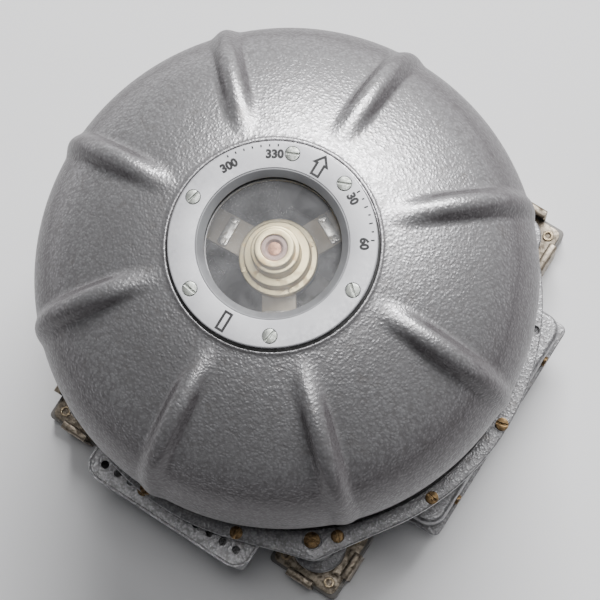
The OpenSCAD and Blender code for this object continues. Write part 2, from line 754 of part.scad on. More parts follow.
// A branch of the loom, a little thinner than the run that it leaves
module loom_bar(from, along, length, height = bar_w) {
    translate([from[0], from[1], loom_low + 0.5]) rotate(along) translate([0, -bar_w / 2, 0])
        cube([length, bar_w, height]);
}
module cable_loom() {
    start_a = 180 + asin(plug_y / loom_at);
    riser_x = left_face + pin_back + seat - hood_x;
    wall_x = -loom_at * cos(start_a - 180);
    arc_end = loom_at * [cos(loom_end_a), sin(loom_end_a)];
    board_end = [-board_w / 2 + 4, board_y + 3 + loom_w / 2 + 2.2];
    along = board_end - arc_end;
    color("#4a4036") at_hood_axis() {
        translate([0, 0, loom_low]) rotate(loom_end_a) rotate_extrude(angle = start_a - loom_end_a)
            translate([loom_at - loom_w / 2, 0]) square(loom_w);
        for (s = [-1, 1]) {
            loom_bar([wall_x, s * plug_y], 0, riser_x + bar_w - wall_x);
            translate([riser_x, s * plug_y - loom_w / 2, loom_low]) cube([loom_w, loom_w, plug_z + 5 - loom_low]);
        }
        loom_bar(arc_end - 2 * along / norm(along), atan2(along[1], along[0]), norm(along) + 2);
    }
}
module thermostat() {
    color("#b9b39a") at_hood_axis() rotate(30) translate([drum_bore_r - 20, 0, floor_top]) {
        cylinder(r = 9, h = 6);
        translate([0, 0, 5]) cylinder(r = 6.5, h = 5);
    }
}

module clamp_ring() {
    color("#97989a") at_hood_axis() difference() {
        translate([0, 0, rim_top]) linear_extrude(flange_t) difference() {
            union() {
                circle(r = flange_r);
                lug_outline(flange_r, lug_r, lug_round_r);
            }
            circle(r = flange_bore_r);
        }
        for (k = [0 : flange_screws_n - 1]) rotate(flange_screw_at(k))
            translate([flange_screws_r, 0, rim_top - 1]) cylinder(r = m4_r + 0.25, h = flange_t + 2, $fn = FN_SMALL);
        translate(lug_at) {
            cylinder(r = iso_bolt_r + 0.2, h = flange_z + 1, $fn = FN_SMALL);
            translate([0, 0, flange_z - lug_sink]) cylinder(r = lug_head_r + 0.7, h = lug_sink + 1);
        }
    }
}
lug_head_r = 4.4;
lug_head_h = 3.2;
lug_sink = 2;
// One position has no screw in the photograph
bare_position = 1;
module flange_screws() {
    color("#8a6a3c") at_hood_axis() for (k = [0 : flange_screws_n - 1]) if (k != bare_position)
        rotate(flange_screw_at(k)) translate([flange_screws_r, 0, flange_z])
            rotate(37 * k) slotted_screw(m4_head_r, m4_head_h, m4_r, flange_t + rim_t - 2);
}
module lug_bolt() {
    color("#8d7f63") translate([iso_x, -iso_y, flange_z - lug_sink])
        slotted_screw(lug_head_r, lug_head_h, iso_bolt_r, flange_z - lug_sink - bolt_low);
}
module hood_gasket() {
    color("#2a2a2a") at_hood_axis() translate([0, 0, recess_z]) tube(lip_r, hood_foot_r - hood_wall, gasket_t);
}

// Half of the hood's section, inset by t: the crown's arc, the shoulder's arc and the skirt
module dome_2d(t) {
    joint = [shoulder_x, 0] + shoulder_r * [shoulder_x, -crown_arc_z] / norm([shoulder_x, -crown_arc_z]);
    intersection() {
        translate([0, crown_arc_z]) circle(r = crown_arc_r - t, $fn = 180);
        polygon([[0, crown_arc_z], joint * 1.5 - [0, crown_arc_z] * 0.5, [0, 2 * hood_rise]]);
    }
    intersection() {
        translate([shoulder_x, 0]) circle(r = shoulder_r - t);
        square([hood_r + 1, hood_rise]);
    }
    polygon([[0, 0], [hood_r - t, 0], [hood_foot_r - t, -hood_skirt], [hood_foot_r - t, -hood_skirt - 10],
        [0, -hood_skirt - 10]]);
}
// A rib's solid core line, as a tube bent along the crest's arc and closed by a round end
module rib_core(r) {
    line_r = rib_arc_r - rib_r;
    translate([rib_arc_x, 0, rib_arc_z]) rotate([90, 0, 0]) {
        rotate(-rib_end) rotate_extrude(angle = rib_top_a + rib_end) translate([line_r, 0]) circle(r = r, $fn = 48);
        rotate(-rib_end) translate([line_r, 0, 0]) sphere(r = r, $fn = 48);
    }
}
module hood() {
    lip_low = rim_top - lip_t;
    color("#a9abae") at_hood_axis() rotate(hood_turn) difference() {
        union() {
            intersection() {
                translate([0, 0, hood_z]) {
                    rotate_extrude() dome_2d(0);
                    for (k = [0 : rib_n - 1]) rotate(90 + 360 * k / rib_n) rib_core(rib_r);
                }
                translate([0, 0, lip_low]) cylinder(r = hood_r + rib_out + 1, h = pad_z - lip_low);
            }
            translate([0, 0, lip_low]) cylinder(r = lip_r, h = lip_t);
        }
        difference() {
            translate([0, 0, hood_z]) {
                rotate_extrude() dome_2d(hood_wall);
                for (k = [0 : rib_n - 1]) rotate(90 + 360 * k / rib_n) rib_core(rib_r - rib_wall);
            }
            // Thick pad under the window ring
            translate([0, 0, pad_z - 5]) cylinder(r = ring_r + 2, h = 30);
        }
        translate([0, 0, pad_z - 20]) cylinder(r = window_bore_r + gap, h = 40);
        for (a = ring_screw_a) rotate(90 + a) translate([ring_screws_r, 0, pad_z - 4])
            cylinder(r = m4_r + gap, h = 10, $fn = FN_SMALL);
    }
}

module window_ring() {
    color("#b4b6b8") at_hood_axis() rotate(hood_turn) difference() {
        union() {
            translate([0, 0, pad_z]) cylinder(r = ring_r, h = ring_z - pad_z);
            translate([0, 0, ledge_z]) cylinder(r = window_bore_r, h = ring_z - ledge_z);
        }
        translate([0, 0, ledge_z + ledge_t]) cylinder(r = ring_bore_r, h = 20);
        translate([0, 0, ledge_z - 1]) cylinder(r = bevel_bore_r, h = 20);
        for (a = ring_screw_a) rotate(90 + a) translate([ring_screws_r, 0, 0]) {
            translate([0, 0, pad_z - 1]) cylinder(r = m4_r + 0.2, h = 10, $fn = FN_SMALL);
            translate([0, 0, ring_z - ring_screw_in]) cylinder(r = m4_head_r + 0.15, h = 5, $fn = FN_SMALL);
        }
    }
}
module ring_screws() {
    color("#8b8f88") at_hood_axis() rotate(hood_turn) for (a = ring_screw_a)
        rotate(90 + a) translate([ring_screws_r, 0, ring_z - ring_screw_in]) rotate(a * 1.7 + 20)
            slotted_screw(m4_head_r - 0.1, m4_head_h, m4_r, pad_z - ring_z + ring_screw_in + 3.5);
}
module bevel_ring() {
    low = glass_z + glass_t;
    top = ring_z - 0.4;
    color("#77797c") at_hood_axis() rotate_extrude()
        polygon([[bevel_bore_r, low], [ring_bore_r - gap, low], [ring_bore_r - gap, top],
            [ring_bore_r - 0.7, top], [bevel_bore_r, low + 0.4]]);
}
module window_glass() {
    color([0.75, 0.85, 0.85, 0.4]) at_hood_axis() translate([0, 0, glass_z])
        cylinder(r = ring_bore_r - 0.2, h = glass_t);
}
module window_gasket() {
    color("#252525") at_hood_axis() translate([0, 0, ledge_z + ledge_t])
        tube(ring_bore_r - 0.2, bevel_bore_r + 0.4, window_gasket_t);
}

module at_arms() {
    for (k = [0 : arms_n - 1]) rotate(arm_a + 360 * k / arms_n) children();
}
module bridge() {
    color("#b9a98a") at_hood_axis() difference() {
        translate([0, 0, bridge_low]) linear_extrude(bridge_t) difference() {
            union() {
                circle(r = cap_r[0] + 3);
                at_arms() {
                    translate([0, -arm_w / 2]) square([pillar_at, arm_w]);
                    translate([pillar_at, 0]) circle(r = pillar_r + 3);
                }
            }
            circle(r = upper_journal_r + 2);
        }
        at_arms() {
            translate([pillar_at, 0, bridge_low - 1]) cylinder(r = m4_r + gap, h = bridge_t + 2, $fn = FN_SMALL);
            translate([arm_plate_at, 0, bridge_z - 4]) for (s = [-1, 1]) translate([0, s * 5.6, 0])
                cylinder(r = 1 + gap, h = 6, $fn = FN_SMALL);
        }
        cap_screw_places() translate([0, 0, bridge_z - 4]) cylinder(r = 1 + gap, h = 6, $fn = FN_SMALL);
    }
}
arm_plate_at = 28;
module cap_screw_places() {
    for (k = [0 : 3]) rotate(53 + 90 * k) translate([(cap_r[0] + cap_r[1]) / 2, 0, 0]) children();
}
module pillars() {
    color("#a9a595") at_hood_axis() at_arms() translate([pillar_at, 0, floor_top]) difference() {
        cylinder(r = pillar_r, h = bridge_low - floor_top);
        translate([0, 0, -1]) cylinder(r = m4_r + gap, h = 13, $fn = FN_SMALL);
        translate([0, 0, bridge_low - floor_top - 12]) cylinder(r = m4_r + gap, h = 13, $fn = FN_SMALL);
    }
}
module pillar_screws() {
    color("#a08a55") at_hood_axis() at_arms() translate([pillar_at, 0, 0]) {
        translate([0, 0, bridge_z]) slotted_screw(m4_head_r, m4_head_h, m4_r, bridge_t + 9);
        translate([0, 0, drum_low]) rotate([180, 0, 0]) slotted_screw(m4_head_r, m4_head_h, m4_r, floor_t + 9);
    }
}
// Clamp plates for wires, one on each arm
module arm_plate() {
    color("#cfcabb") at_hood_axis() at_arms() translate([arm_plate_at, 0, bridge_z]) {
        difference() {
            translate([-2.5, -7.4, 0]) cube([5, 14.8, 1.2]);
            for (s = [-1, 1]) translate([0, s * 5.6, -1]) cylinder(r = 1 + gap, h = 4, $fn = FN_SMALL);
        }
        for (s = [-1, 1]) translate([0, s * 5.6, 1.2]) slotted_screw(1.7, 1.2, 1, 4.4);
    }
}
module bearing_cap() {
    color("#d8c08a") at_hood_axis() translate([0, 0, bridge_z]) difference() {
        union() {
            cylinder(r = cap_r[0], h = cap_z[0]);
            cylinder(r = cap_r[1], h = cap_z[1]);
            cylinder(r = cap_r[2], h = cap_z[2]);
            cylinder(r = cap_r[3], h = cap_z[3]);
        }
        translate([0, 0, -1]) cylinder(r = upper_bearing_r, h = 1 + bearing_w + 3);
        cylinder(r = cap_r[2] - 2, h = cap_z[2] - 2);
        cylinder(r = cap_r[3] - 3.2, h = cap_z[3] + 1);
        cap_screw_places() translate([0, 0, -1]) cylinder(r = 1 + gap, h = 8, $fn = FN_SMALL);
    }
}
module cap_screws() {
    color("#b79a5c") at_hood_axis() cap_screw_places() translate([0, 0, bridge_z + cap_z[0]])
        slotted_screw(1.35, 0.8, 1, cap_z[0] + 2.5);
}
// Adjusting plug in the cap's mouth
module cap_plug() {
    color("#b98a72") at_hood_axis() translate([0, 0, cap_top - 5]) difference() {
        cylinder(r = cap_r[3] - 3.2, h = 4);
        translate([0, 0, 2]) cylinder(r = 3.4, h = 4);
    }
}

module azimuth_bearings() {
    color("#c4c7ca") at_hood_axis() {
        translate([0, 0, bridge_z + 2]) bearing_outer(upper_journal_r, upper_bearing_r, bearing_w, 10);
        translate([0, 0, lower_bearing_z]) bearing_outer(lower_journal_r, lower_bearing_r, bearing_w, 10);
    }
}
module azimuth_bearing_inners() {
    color("#c4c7ca") at_hood_axis() {
        translate([0, 0, bridge_z + 2]) bearing_inner(upper_journal_r, upper_bearing_r, bearing_w);
        translate([0, 0, lower_bearing_z]) bearing_inner(lower_journal_r, lower_bearing_r, bearing_w);
    }
}
slip_low = bridge_z + 2 + bearing_w + 1;
slip_top = bridge_z + cap_z[2] - 3;
slip_n = 6;
module slip_rings() {
    pitch = (slip_top - slip_low) / slip_n;
    color("#d9b44a") at_hood_axis() translate([0, 0, slip_low]) difference() {
        union() {
            cylinder(r = upper_journal_r + 0.9, h = slip_top - slip_low);
            for (k = [0 : slip_n - 1]) translate([0, 0, pitch * (k + 0.2)])
                cylinder(r = upper_journal_r + 1.8, h = 0.6 * pitch);
        }
        translate([0, 0, -1]) cylinder(r = upper_journal_r, h = 40);
    }
}
module brush_block() {
    pitch = (slip_top - slip_low) / slip_n;
    wall = cap_r[2] - 2;
    color("#5a3d28") at_hood_axis() difference() {
        translate([0, 0, slip_low]) {
            translate([0, 0, pitch * 0.1]) tube(wall, wall - 1.4, pitch * (slip_n - 0.3));
            for (k = [0 : slip_n - 1], s = [-1, 1])
                translate([s * (wall - 1.7) - 1, -1.2, pitch * (k + 0.3)]) cube([2, 2.4, 0.4 * pitch]);
        }
        translate([0, 0, slip_low - 1]) cylinder(r = upper_journal_r + 1.8 + seat, h = 40);
    }
}

// A geared unit in local axes: shaft on Z, its bracket's posts away from the azimuth gear
module at_drive(a) { at_hood_axis() rotate(a) translate([drive_at, 0, 0]) children(); }
module drive_housing() {
    translate([0, 0, drive_plate_z]) linear_extrude(drive_plate_t) difference() {
        union() {
            circle(r = drive_r + 2);
            translate([0, -17]) square([21, 34]);
        }
        circle(r = 6);
    }
    for (s = [-1, 1]) translate([18, s * 14, floor_top]) cylinder(r = 3, h = drive_plate_z - floor_top);
    translate([0, 0, drive_z]) difference() {
        cylinder(r = drive_r, h = drive_h);
        translate([0, 0, -1]) cylinder(r = 6, h = 6);
        translate([0, 0, 3]) cylinder(r = drive_r - 2, h = drive_h - 6);
    }
    // Windings against the wall
    translate([0, 0, drive_z + 5]) tube(drive_r - 2, 9.5, drive_h - 10);
}
module drive_rotor(phase) {
    translate([0, 0, gear_low]) linear_extrude(pinion_t) rotate(phase) gear_2d(pinion_n, gear_m, drive_shaft_r - 1);
    translate([0, 0, gear_low - 2]) cylinder(r = drive_shaft_r, h = drive_z + drive_h - 4 - gear_low + 2);
    translate([0, 0, drive_z + 6]) tube(9, drive_shaft_r - 1, drive_h - 12);
}
module synchro_housing() { color("#6e6f72") at_drive(synchro_a) drive_housing(); }
module correction_motor_housing() { color("#5f6468") at_drive(motor_a) drive_housing(); }
module synchro_rotor() { color("#b08d57") at_drive(synchro_a) drive_rotor(drive_phase(synchro_a)); }
module correction_motor_rotor() { color("#b08d57") at_drive(motor_a) drive_rotor(drive_phase(motor_a)); }
// In a unit's own axes the azimuth gear's centre lies at -X, and a pinion gap faces it
function drive_phase(a) = 180 + 180 / pinion_n + gear_slip(a) * gear_n / pinion_n;
// Angle from the unit's direction back to the nearest gear tooth
function gear_slip(a) = a - round(a * gear_n / 360) * 360 / gear_n;

module at_gyro() { translate([hood_x, 0, gyro_z]) children(); }
module along_x() { rotate([0, 90, 0]) children(); }
module along_y() { rotate([-90, 0, 0]) children(); }
module outer_gimbal() {
    color("#8f8b80") difference() {
        union() {
            at_gyro() {
                translate([0, -gimbal_w / 2, 0]) along_y() tube(gimbal_r, gimbal_bore_r, gimbal_w);
                for (s = [-1, 1]) scale([s, 1, 1]) translate([trunnion_in, 0, 0]) along_x()
                    cylinder(r = boss_r, h = trunnion_out - trunnion_in);
            }
            at_hood_axis() {
                translate([0, 0, gyro_z + gimbal_bore_r + 1]) cylinder(r = 9, h = bridge_low - 0.8 - gyro_z - gimbal_bore_r - 1);
                translate([0, 0, bridge_low - 2]) cylinder(r = upper_journal_r, h = slip_top - bridge_low + 1.5);
                translate([0, 0, lower_boss_top + 0.5])
                    cylinder(r = hub_r, h = gyro_z - gimbal_bore_r - 1 - lower_boss_top - 0.5);
                translate([0, 0, lower_bearing_z + 0.4]) cylinder(r = lower_journal_r, h = 20);
            }
        }
        at_gyro() {
            along_y() translate([0, 0, -30]) cylinder(r = gimbal_bore_r, h = 30 - gimbal_w / 2);
            for (s = [-1, 1]) scale([s, 1, 1]) along_x() {
                translate([0, 0, trunnion_in - 1]) cylinder(r = trunnion_r + 1, h = trunnion_out);
                translate([0, 0, trunnion_out - bearing_w - 1]) cylinder(r = trunnion_bearing_r, h = trunnion_out);
            }
        }
    }
}
module azimuth_gear() {
    color("#b59a5b") at_hood_axis() translate([0, 0, gear_low]) linear_extrude(gear_t)
        difference() {
            gear_2d(gear_n, gear_m, hub_r + gap);
            for (k = [0 : 5]) rotate(60 * k) translate([(gear_r + hub_r) / 2, 0]) circle(r = 9);
        }
}
module trunnion_bearings() {
    color("#c4c7ca") at_gyro() for (s = [-1, 1]) scale([s, 1, 1]) translate([trunnion_out - bearing_w - 1, 0, 0])
        along_x() bearing_outer(trunnion_r, trunnion_bearing_r, bearing_w, 8);
}
module levelling_motor_stator() {
    color("#5c5148") at_gyro() translate([-trunnion_out, 0, 0]) rotate([0, -90, 0]) {
        tube(torquer_r, 10, torquer_len);
        translate([0, 0, torquer_len]) tube(torquer_r, 6, 1.5);
    }
}
module gimbal_weight() {
    color("#a88f58") at_gyro() translate([trunnion_out, 0, 0]) along_x() tube(torquer_r, 7, weight_len);
}
module rotor_housing() {
    color("#9a9d9f") at_gyro() difference() {
        union() {
            translate([0, -housing_half, 0]) along_y() cylinder(r = housing_r, h = 2 * housing_half);
            for (s = [-1, 1]) scale([s, 1, 1]) translate([housing_r - 4, 0, 0]) along_x()
                cylinder(r = 9, h = trunnion_in - 0.7 - housing_r + 4);
        }
        translate([0, -housing_half - 1, 0]) along_y() cylinder(r = housing_r - housing_wall, h = 2 * housing_half + 2);
        for (s = [-1, 1]) scale([s, 1, 1]) along_x() translate([0, 0, housing_r - 2]) cylinder(r = trunnion_r, h = 30);
    }
}
module housing_covers() {
    color("#8b8e90") at_gyro() for (s = [-1, 1]) scale([1, s, 1]) along_y() difference() {
        union() {
            translate([0, 0, housing_half]) cylinder(r = cover_r, h = 1.5);
            translate([0, 0, housing_half]) cylinder(r = cover_step_r, h = cover_step_y - housing_half);
            translate([0, 0, housing_half]) cylinder(r = nose_r, h = nose_y - housing_half);
        }
        translate([0, 0, housing_half - 1]) cylinder(r = cover_step_r - 3, h = 5);
        translate([0, 0, housing_half - 1]) cylinder(r = spin_bearing_r, h = spin_bearing_y + bearing_w - housing_half + 1);
    }
}
module trunnions() {
    color("#c0c2c4") at_gyro() for (s = [-1, 1]) scale([s, 1, 1]) along_x() {
        translate([0, 0, housing_r - 2]) cylinder(r = trunnion_r, h = trunnion_out + 1 - housing_r + 2);
        translate([0, 0, trunnion_out - bearing_w - 1]) bearing_inner(trunnion_r, trunnion_bearing_r, bearing_w);
    }
    // Armature of the levelling motor
    color("#7a6a55") at_gyro() translate([-trunnion_out - 1, 0, 0]) rotate([0, -90, 0])
        cylinder(r = 9.4, h = torquer_len - 2);
}
module level_switch() {
    color("#a9c0c4") at_gyro() for (s = [-1, 1]) translate([-7, -5, s > 0 ? housing_r : -housing_r - 5])
        cube([14, 10, 5]);
}
module spin_bearings() {
    color("#c4c7ca") at_gyro() for (s = [-1, 1]) scale([1, s, 1]) translate([0, spin_bearing_y, 0])
        along_y() bearing_outer(spin_r, spin_bearing_r, bearing_w, 8);
}
module spin_stator() {
    core_half = rotor_half - bell_web_t - 4;
    core_r = bell_bore_r - 1;
    sleeve_r = spin_r + 4;
    color("#8a4f2a") at_gyro() along_y() {
        translate([0, 0, -core_half]) tube(core_r, sleeve_r - 0.1, 2 * core_half);
        translate([0, 0, -core_half - 3]) tube(core_r - 1.5, sleeve_r + 0.18 * (core_r - sleeve_r), 2 * core_half + 6);
        translate([0, 0, -housing_half - 4]) tube(sleeve_r, spin_r + 1, housing_half + 4 + core_half);
    }
}
// The bell stands a little rearwards, which balances its web against the stator's sleeve
bell_at = -0.64;
bell_bore_r = 41 / 60 * rotor_r;
bell_web_t = 4;
module rotor() {
    shaft_half = spin_bearing_y + bearing_w - 0.5;
    color("#7d8083") at_gyro() along_y() {
        translate([0, 0, bell_at - rotor_half]) tube(rotor_r, bell_bore_r, 2 * rotor_half);
        translate([0, 0, bell_at + rotor_half - bell_web_t]) cylinder(r = bell_bore_r + 0.5, h = bell_web_t);
        translate([0, 0, -shaft_half]) cylinder(r = spin_r, h = 2 * shaft_half);
        for (s = [-1, 1]) scale([1, 1, s]) translate([0, 0, spin_bearing_y])
            bearing_inner(spin_r, spin_bearing_r, bearing_w);
    }
}

mounting_frame();
snubber_ears();
isolator_plates();
isolator_rivets();
isolator_rubbers();
isolator_bushings();
isolator_bolts();
chassis();
bottom_cover();
bottom_cover_screws();
side_box();
side_box_screws();
relays();
rear_panel();
rear_panel_screw();
receptacle_shells();
receptacle_inserts();
receptacle_pins();
receptacle_screws();
terminal_board();
cable_loom();
thermostat();
clamp_ring();
flange_screws();
lug_bolt();
hood_gasket();
hood();
window_ring();
ring_screws();
bevel_ring();
window_glass();
window_gasket();
bridge();
pillars();
pillar_screws();
arm_plate();
bearing_cap();
cap_screws();
cap_plug();
azimuth_bearings();
brush_block();
synchro_housing();
correction_motor_housing();
outer_gimbal();
azimuth_bearing_inners();
slip_rings();
azimuth_gear();
trunnion_bearings();
levelling_motor_stator();
gimbal_weight();
rotor_housing();
housing_covers();
trunnions();
level_switch();
spin_bearings();
spin_stator();
rotor();
synchro_rotor();
correction_motor_rotor();
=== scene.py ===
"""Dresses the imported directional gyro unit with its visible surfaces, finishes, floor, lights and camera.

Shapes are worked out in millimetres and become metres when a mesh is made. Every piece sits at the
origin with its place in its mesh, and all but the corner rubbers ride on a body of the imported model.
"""

import json
import math

import bpy
import numpy as np
from bpy.props import FloatProperty, FloatVectorProperty, IntProperty, PointerProperty
from mathutils import Matrix, Vector


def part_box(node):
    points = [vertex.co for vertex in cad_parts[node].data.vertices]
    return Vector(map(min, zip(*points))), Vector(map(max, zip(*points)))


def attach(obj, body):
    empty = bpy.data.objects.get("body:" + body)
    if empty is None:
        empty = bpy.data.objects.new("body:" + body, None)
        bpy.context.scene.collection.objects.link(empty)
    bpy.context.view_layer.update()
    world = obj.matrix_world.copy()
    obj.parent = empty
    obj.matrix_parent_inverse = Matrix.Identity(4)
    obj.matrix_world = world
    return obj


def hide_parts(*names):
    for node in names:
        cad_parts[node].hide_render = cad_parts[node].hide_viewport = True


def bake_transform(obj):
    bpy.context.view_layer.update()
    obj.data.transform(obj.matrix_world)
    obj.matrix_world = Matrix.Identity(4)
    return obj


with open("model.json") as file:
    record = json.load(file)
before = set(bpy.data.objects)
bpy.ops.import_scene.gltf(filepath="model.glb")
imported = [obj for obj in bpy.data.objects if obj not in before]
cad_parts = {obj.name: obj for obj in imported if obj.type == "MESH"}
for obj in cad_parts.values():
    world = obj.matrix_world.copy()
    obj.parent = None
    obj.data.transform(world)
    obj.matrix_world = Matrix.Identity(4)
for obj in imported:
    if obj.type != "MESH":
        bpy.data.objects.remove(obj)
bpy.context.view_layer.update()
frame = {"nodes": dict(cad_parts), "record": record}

bl_info = {
    "name": "Directional Gyro Unit",
    "version": (1, 0, 0),
    "blender": (4, 5, 0),
    "location": "View3D > Sidebar > Gyro Unit",
    "description": "Builds the visible pieces and finishes of a sealed directional gyro unit",
    "category": "Object",
}

MM = 0.001
SLOT_OF = {row["node"]: row["material_slot"] for row in frame["record"]["subparts"]}


def corners(x, y):
    """The four points with those distances from both axes."""
    return [(sx * x, sy * y) for sx in (-1, 1) for sy in (-1, 1)]


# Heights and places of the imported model
FLANGE_Z = 92.0
EQUATOR_Z = 159.5
BRIDGE_Z = 200.4
CAP_TOP = 226.4
PAD_Z = 233.2
SINK_Z = 234.4
RING_Z = 236.0
ISOLATORS = corners(77.0, 104.0)
LUG = (77.0, -104.0, 0.0)
FLANGE_SCREW_R, FLANGE_SCREWS, BARE_PLACE = 129.1, 15, 1
BOX_FIT_R = 112.4
PANEL_TOP, ROW_Y, ROW_PITCH = 71.6, -130.5, 8.6


# Shapes

def directions(a):
    """Points (cos a, sin a)."""
    return np.stack([np.cos(a), np.sin(a)], -1)


def unit(vectors):
    """Each row at length one."""
    return vectors / np.linalg.norm(vectors, axis=1)[:, None]


def unit_circle(count):
    return directions(np.arange(count) * (2 * np.pi / count))


def loft(rings, closed=False):
    """Skin over rings of points that match one to one: quads join each ring to the next. It is closed into
    a loop of rings, or ends in a flat face at the first and last ring. Rings run anticlockwise as seen
    from the side that the next ring is on, so faces point outwards."""
    rings = np.asarray(rings, float)
    m, n = rings.shape[:2]
    i = np.arange(n)
    j = np.arange(m if closed else m - 1)[:, None]
    here, there = j * n, ((j + 1) % m) * n
    after = (i + 1) % n
    faces = [np.stack([here + i, here + after, there + after, there + i], 2).reshape(-1, 4)]
    if not closed:
        faces += [i[None, ::-1], (m - 1) * n + i[None, :]]
    return rings.reshape(-1, 3), faces


def rounded(points, radii, steps=4):
    """Closed outline whose corners become arcs that touch both of their sides: an arc's centre lies on the
    bisector, r / sin(half the corner's angle) from the corner."""
    p = np.asarray(points, float)
    r = np.broadcast_to(radii, len(p)).astype(float)
    back, ahead = unit(np.roll(p, 1, 0) - p), unit(np.roll(p, -1, 0) - p)
    half = np.arccos(np.clip((back * ahead).sum(1), -1, 1)) / 2
    middle = unit(back + ahead)
    reach = (r / np.tan(half))[:, None]
    centre = p + middle * (r / np.sin(half))[:, None]
    first, last = p + back * reach - centre, p + ahead * reach - centre
    a = np.arctan2(first[:, 1], first[:, 0])
    turn = (np.arctan2(last[:, 1], last[:, 0]) - a + np.pi) % (2 * np.pi) - np.pi
    a = a[:, None] + turn[:, None] * np.linspace(0, 1, steps + 1)
    return (centre[:, None] + r[:, None, None] * directions(a)).reshape(-1, 2)


def inset(outline, depth):
    """Outline moved inwards by depth: each corner goes along the mitre of its two sides."""
    along = unit(np.roll(outline, -1, 0) - outline)
    left = np.stack([-along[:, 1], along[:, 0]], 1)
    before = np.roll(left, 1, 0)
    return outline + depth * ((left + before) / (1 + (left * before).sum(1))[:, None])


def eased(low, high, edge, steps=3):
    """(inset, height) pairs up a wall whose lower and upper edges are quarter circles of radius edge."""
    t = np.linspace(0, np.pi / 2, steps + 1)
    lower = np.stack([edge * (1 - np.sin(t)), low + edge * (1 - np.cos(t))], 1)
    upper = np.stack([edge * (1 - np.cos(t)), high - edge * (1 - np.sin(t))], 1)
    return np.vstack([lower, upper])


def layered(outline, layers):
    """Rings of an outline, one for each (inset, height)."""
    return [np.c_[inset(outline, depth), np.full(len(outline), z)] for depth, z in layers]


def slab(outline, layers):
    """Solid on an anticlockwise outline: each layer (inset, height) is the outline moved in and lifted."""
    return loft(layered(np.asarray(outline, float), layers))


def around_axis(section, count):
    """Rings (r cos a, r sin a, z) of the (radius, height) pairs of a section."""
    section = np.asarray(section, float)
    rings = np.empty((len(section), count, 3))
    rings[..., :2] = section[:, None, :1] * unit_circle(count)
    rings[..., 2] = section[:, 1:]
    return rings


def turned(section, count=96, closed=True):
    """Section carried round the vertical axis. A closed section runs anticlockwise; an open one starts and
    ends near the axis, and its ends are flat faces."""
    return loft(around_axis(section, count), closed)


def lathed(points, radii, steps, count):
    """Ring whose closed section has rounded corners."""
    return turned(rounded(points, radii, steps), count)


def rod(path, radius, plane, count=20):
    """Round rod along a path that lies in a plane: each ring is p + radius (n cos a + (t x n) sin a), where
    n is the plane's normal and t the path's direction."""
    p, n = np.asarray(path, float), np.asarray(plane, float)
    t = unit(np.gradient(p, axis=0))
    around = unit_circle(count)
    across = np.cross(t, n)
    return loft(p[:, None] + radius * (around[None, :, :1] * n + around[None, :, 1:] * across[:, None]))


def plate_with_bore(outer, inner, low, high, edge):
    """Flat ring between two outlines with as many points: up the outer wall, over, and down the bore."""
    walls = eased(low, high, edge)
    return loft(layered(outer, walls) + layered(inner, walls[::-1] * (-1, 1)), closed=True)


def round_bore(outline, radius):
    """Circle whose points lie in the directions of the outline's points."""
    return radius * unit(outline)


def moved(shape, at=(0, 0, 0), turn=0.0, basis=None):
    """Shape turned by degrees about the vertical, or laid on the three directions of basis, then moved."""
    verts, faces = shape
    if basis is None:
        c, s = polar(1, turn)
        basis = [(c, s, 0), (-s, c, 0), (0, 0, 1)]
    return verts @ np.array(basis, float) + np.array(at, float), faces


def joined(shapes):
    """One shape from several, each with its own points."""
    verts, faces, count = [], [], 0
    for v, f in shapes:
        verts.append(v)
        faces += [block + count for block in f]
        count += len(v)
    return np.vstack(verts), faces


def disc(count, radius, layers, at=(0, 0, 0)):
    """Round slab with as many sides as count."""
    return moved(slab(unit_circle(count) * radius, layers), at)


def rectangle(x0, y0, x1, y1):
    return [(x0, y0), (x1, y0), (x1, y1), (x0, y1)]


def box_outline(width, length, radius, steps=4):
    """Rectangle about the origin with rounded corners."""
    return rounded(rectangle(-width / 2, -length / 2, width / 2, length / 2), radius, steps)


def copies(shape, places):
    """The shape at each (x, y)."""
    return [moved(shape, (x, y, 0)) for x, y in places]


def polar(radius, degrees):
    a = math.radians(degrees)
    return radius * math.cos(a), radius * math.sin(a)


def ring_at(radius, degrees, z=0.0):
    return (*polar(radius, degrees), z)


# Local x, y and z of shapes that are built upright and then face sideways
TO_LEFT = [(0, 0, 1), (0, 1, 0), (-1, 0, 0)]
TO_RIGHT = [(0, 0, -1), (0, 1, 0), (1, 0, 0)]
DOWN = [(1, 0, 0), (0, -1, 0), (0, 0, -1)]


# Meshes

def raw_object(name, shape):
    verts, faces = shape
    mesh = bpy.data.meshes.new(name)
    mesh.from_pydata((verts * MM).tolist(), [], [f for block in faces for f in block.tolist()])
    mesh.validate()
    obj = bpy.data.objects.new(name, mesh)
    bpy.context.scene.collection.objects.link(obj)
    return obj


def evaluated_mesh(obj):
    bpy.context.view_layer.update()
    return bpy.data.meshes.new_from_object(obj.evaluated_get(bpy.context.evaluated_depsgraph_get()))


def cut(obj, cutter):
    """Takes the cutter's solids from obj and keeps the result as a plain mesh."""
    tool = raw_object("cutter", cutter)
    step = obj.modifiers.new("cut", "BOOLEAN")
    step.object, step.operation, step.solver = tool, "DIFFERENCE", "EXACT"
    spare = [obj.data, tool.data]
    result = evaluated_mesh(obj)
    obj.modifiers.clear()
    obj.data = result
    bpy.data.objects.remove(tool)
    for mesh in spare:
        bpy.data.meshes.remove(mesh)


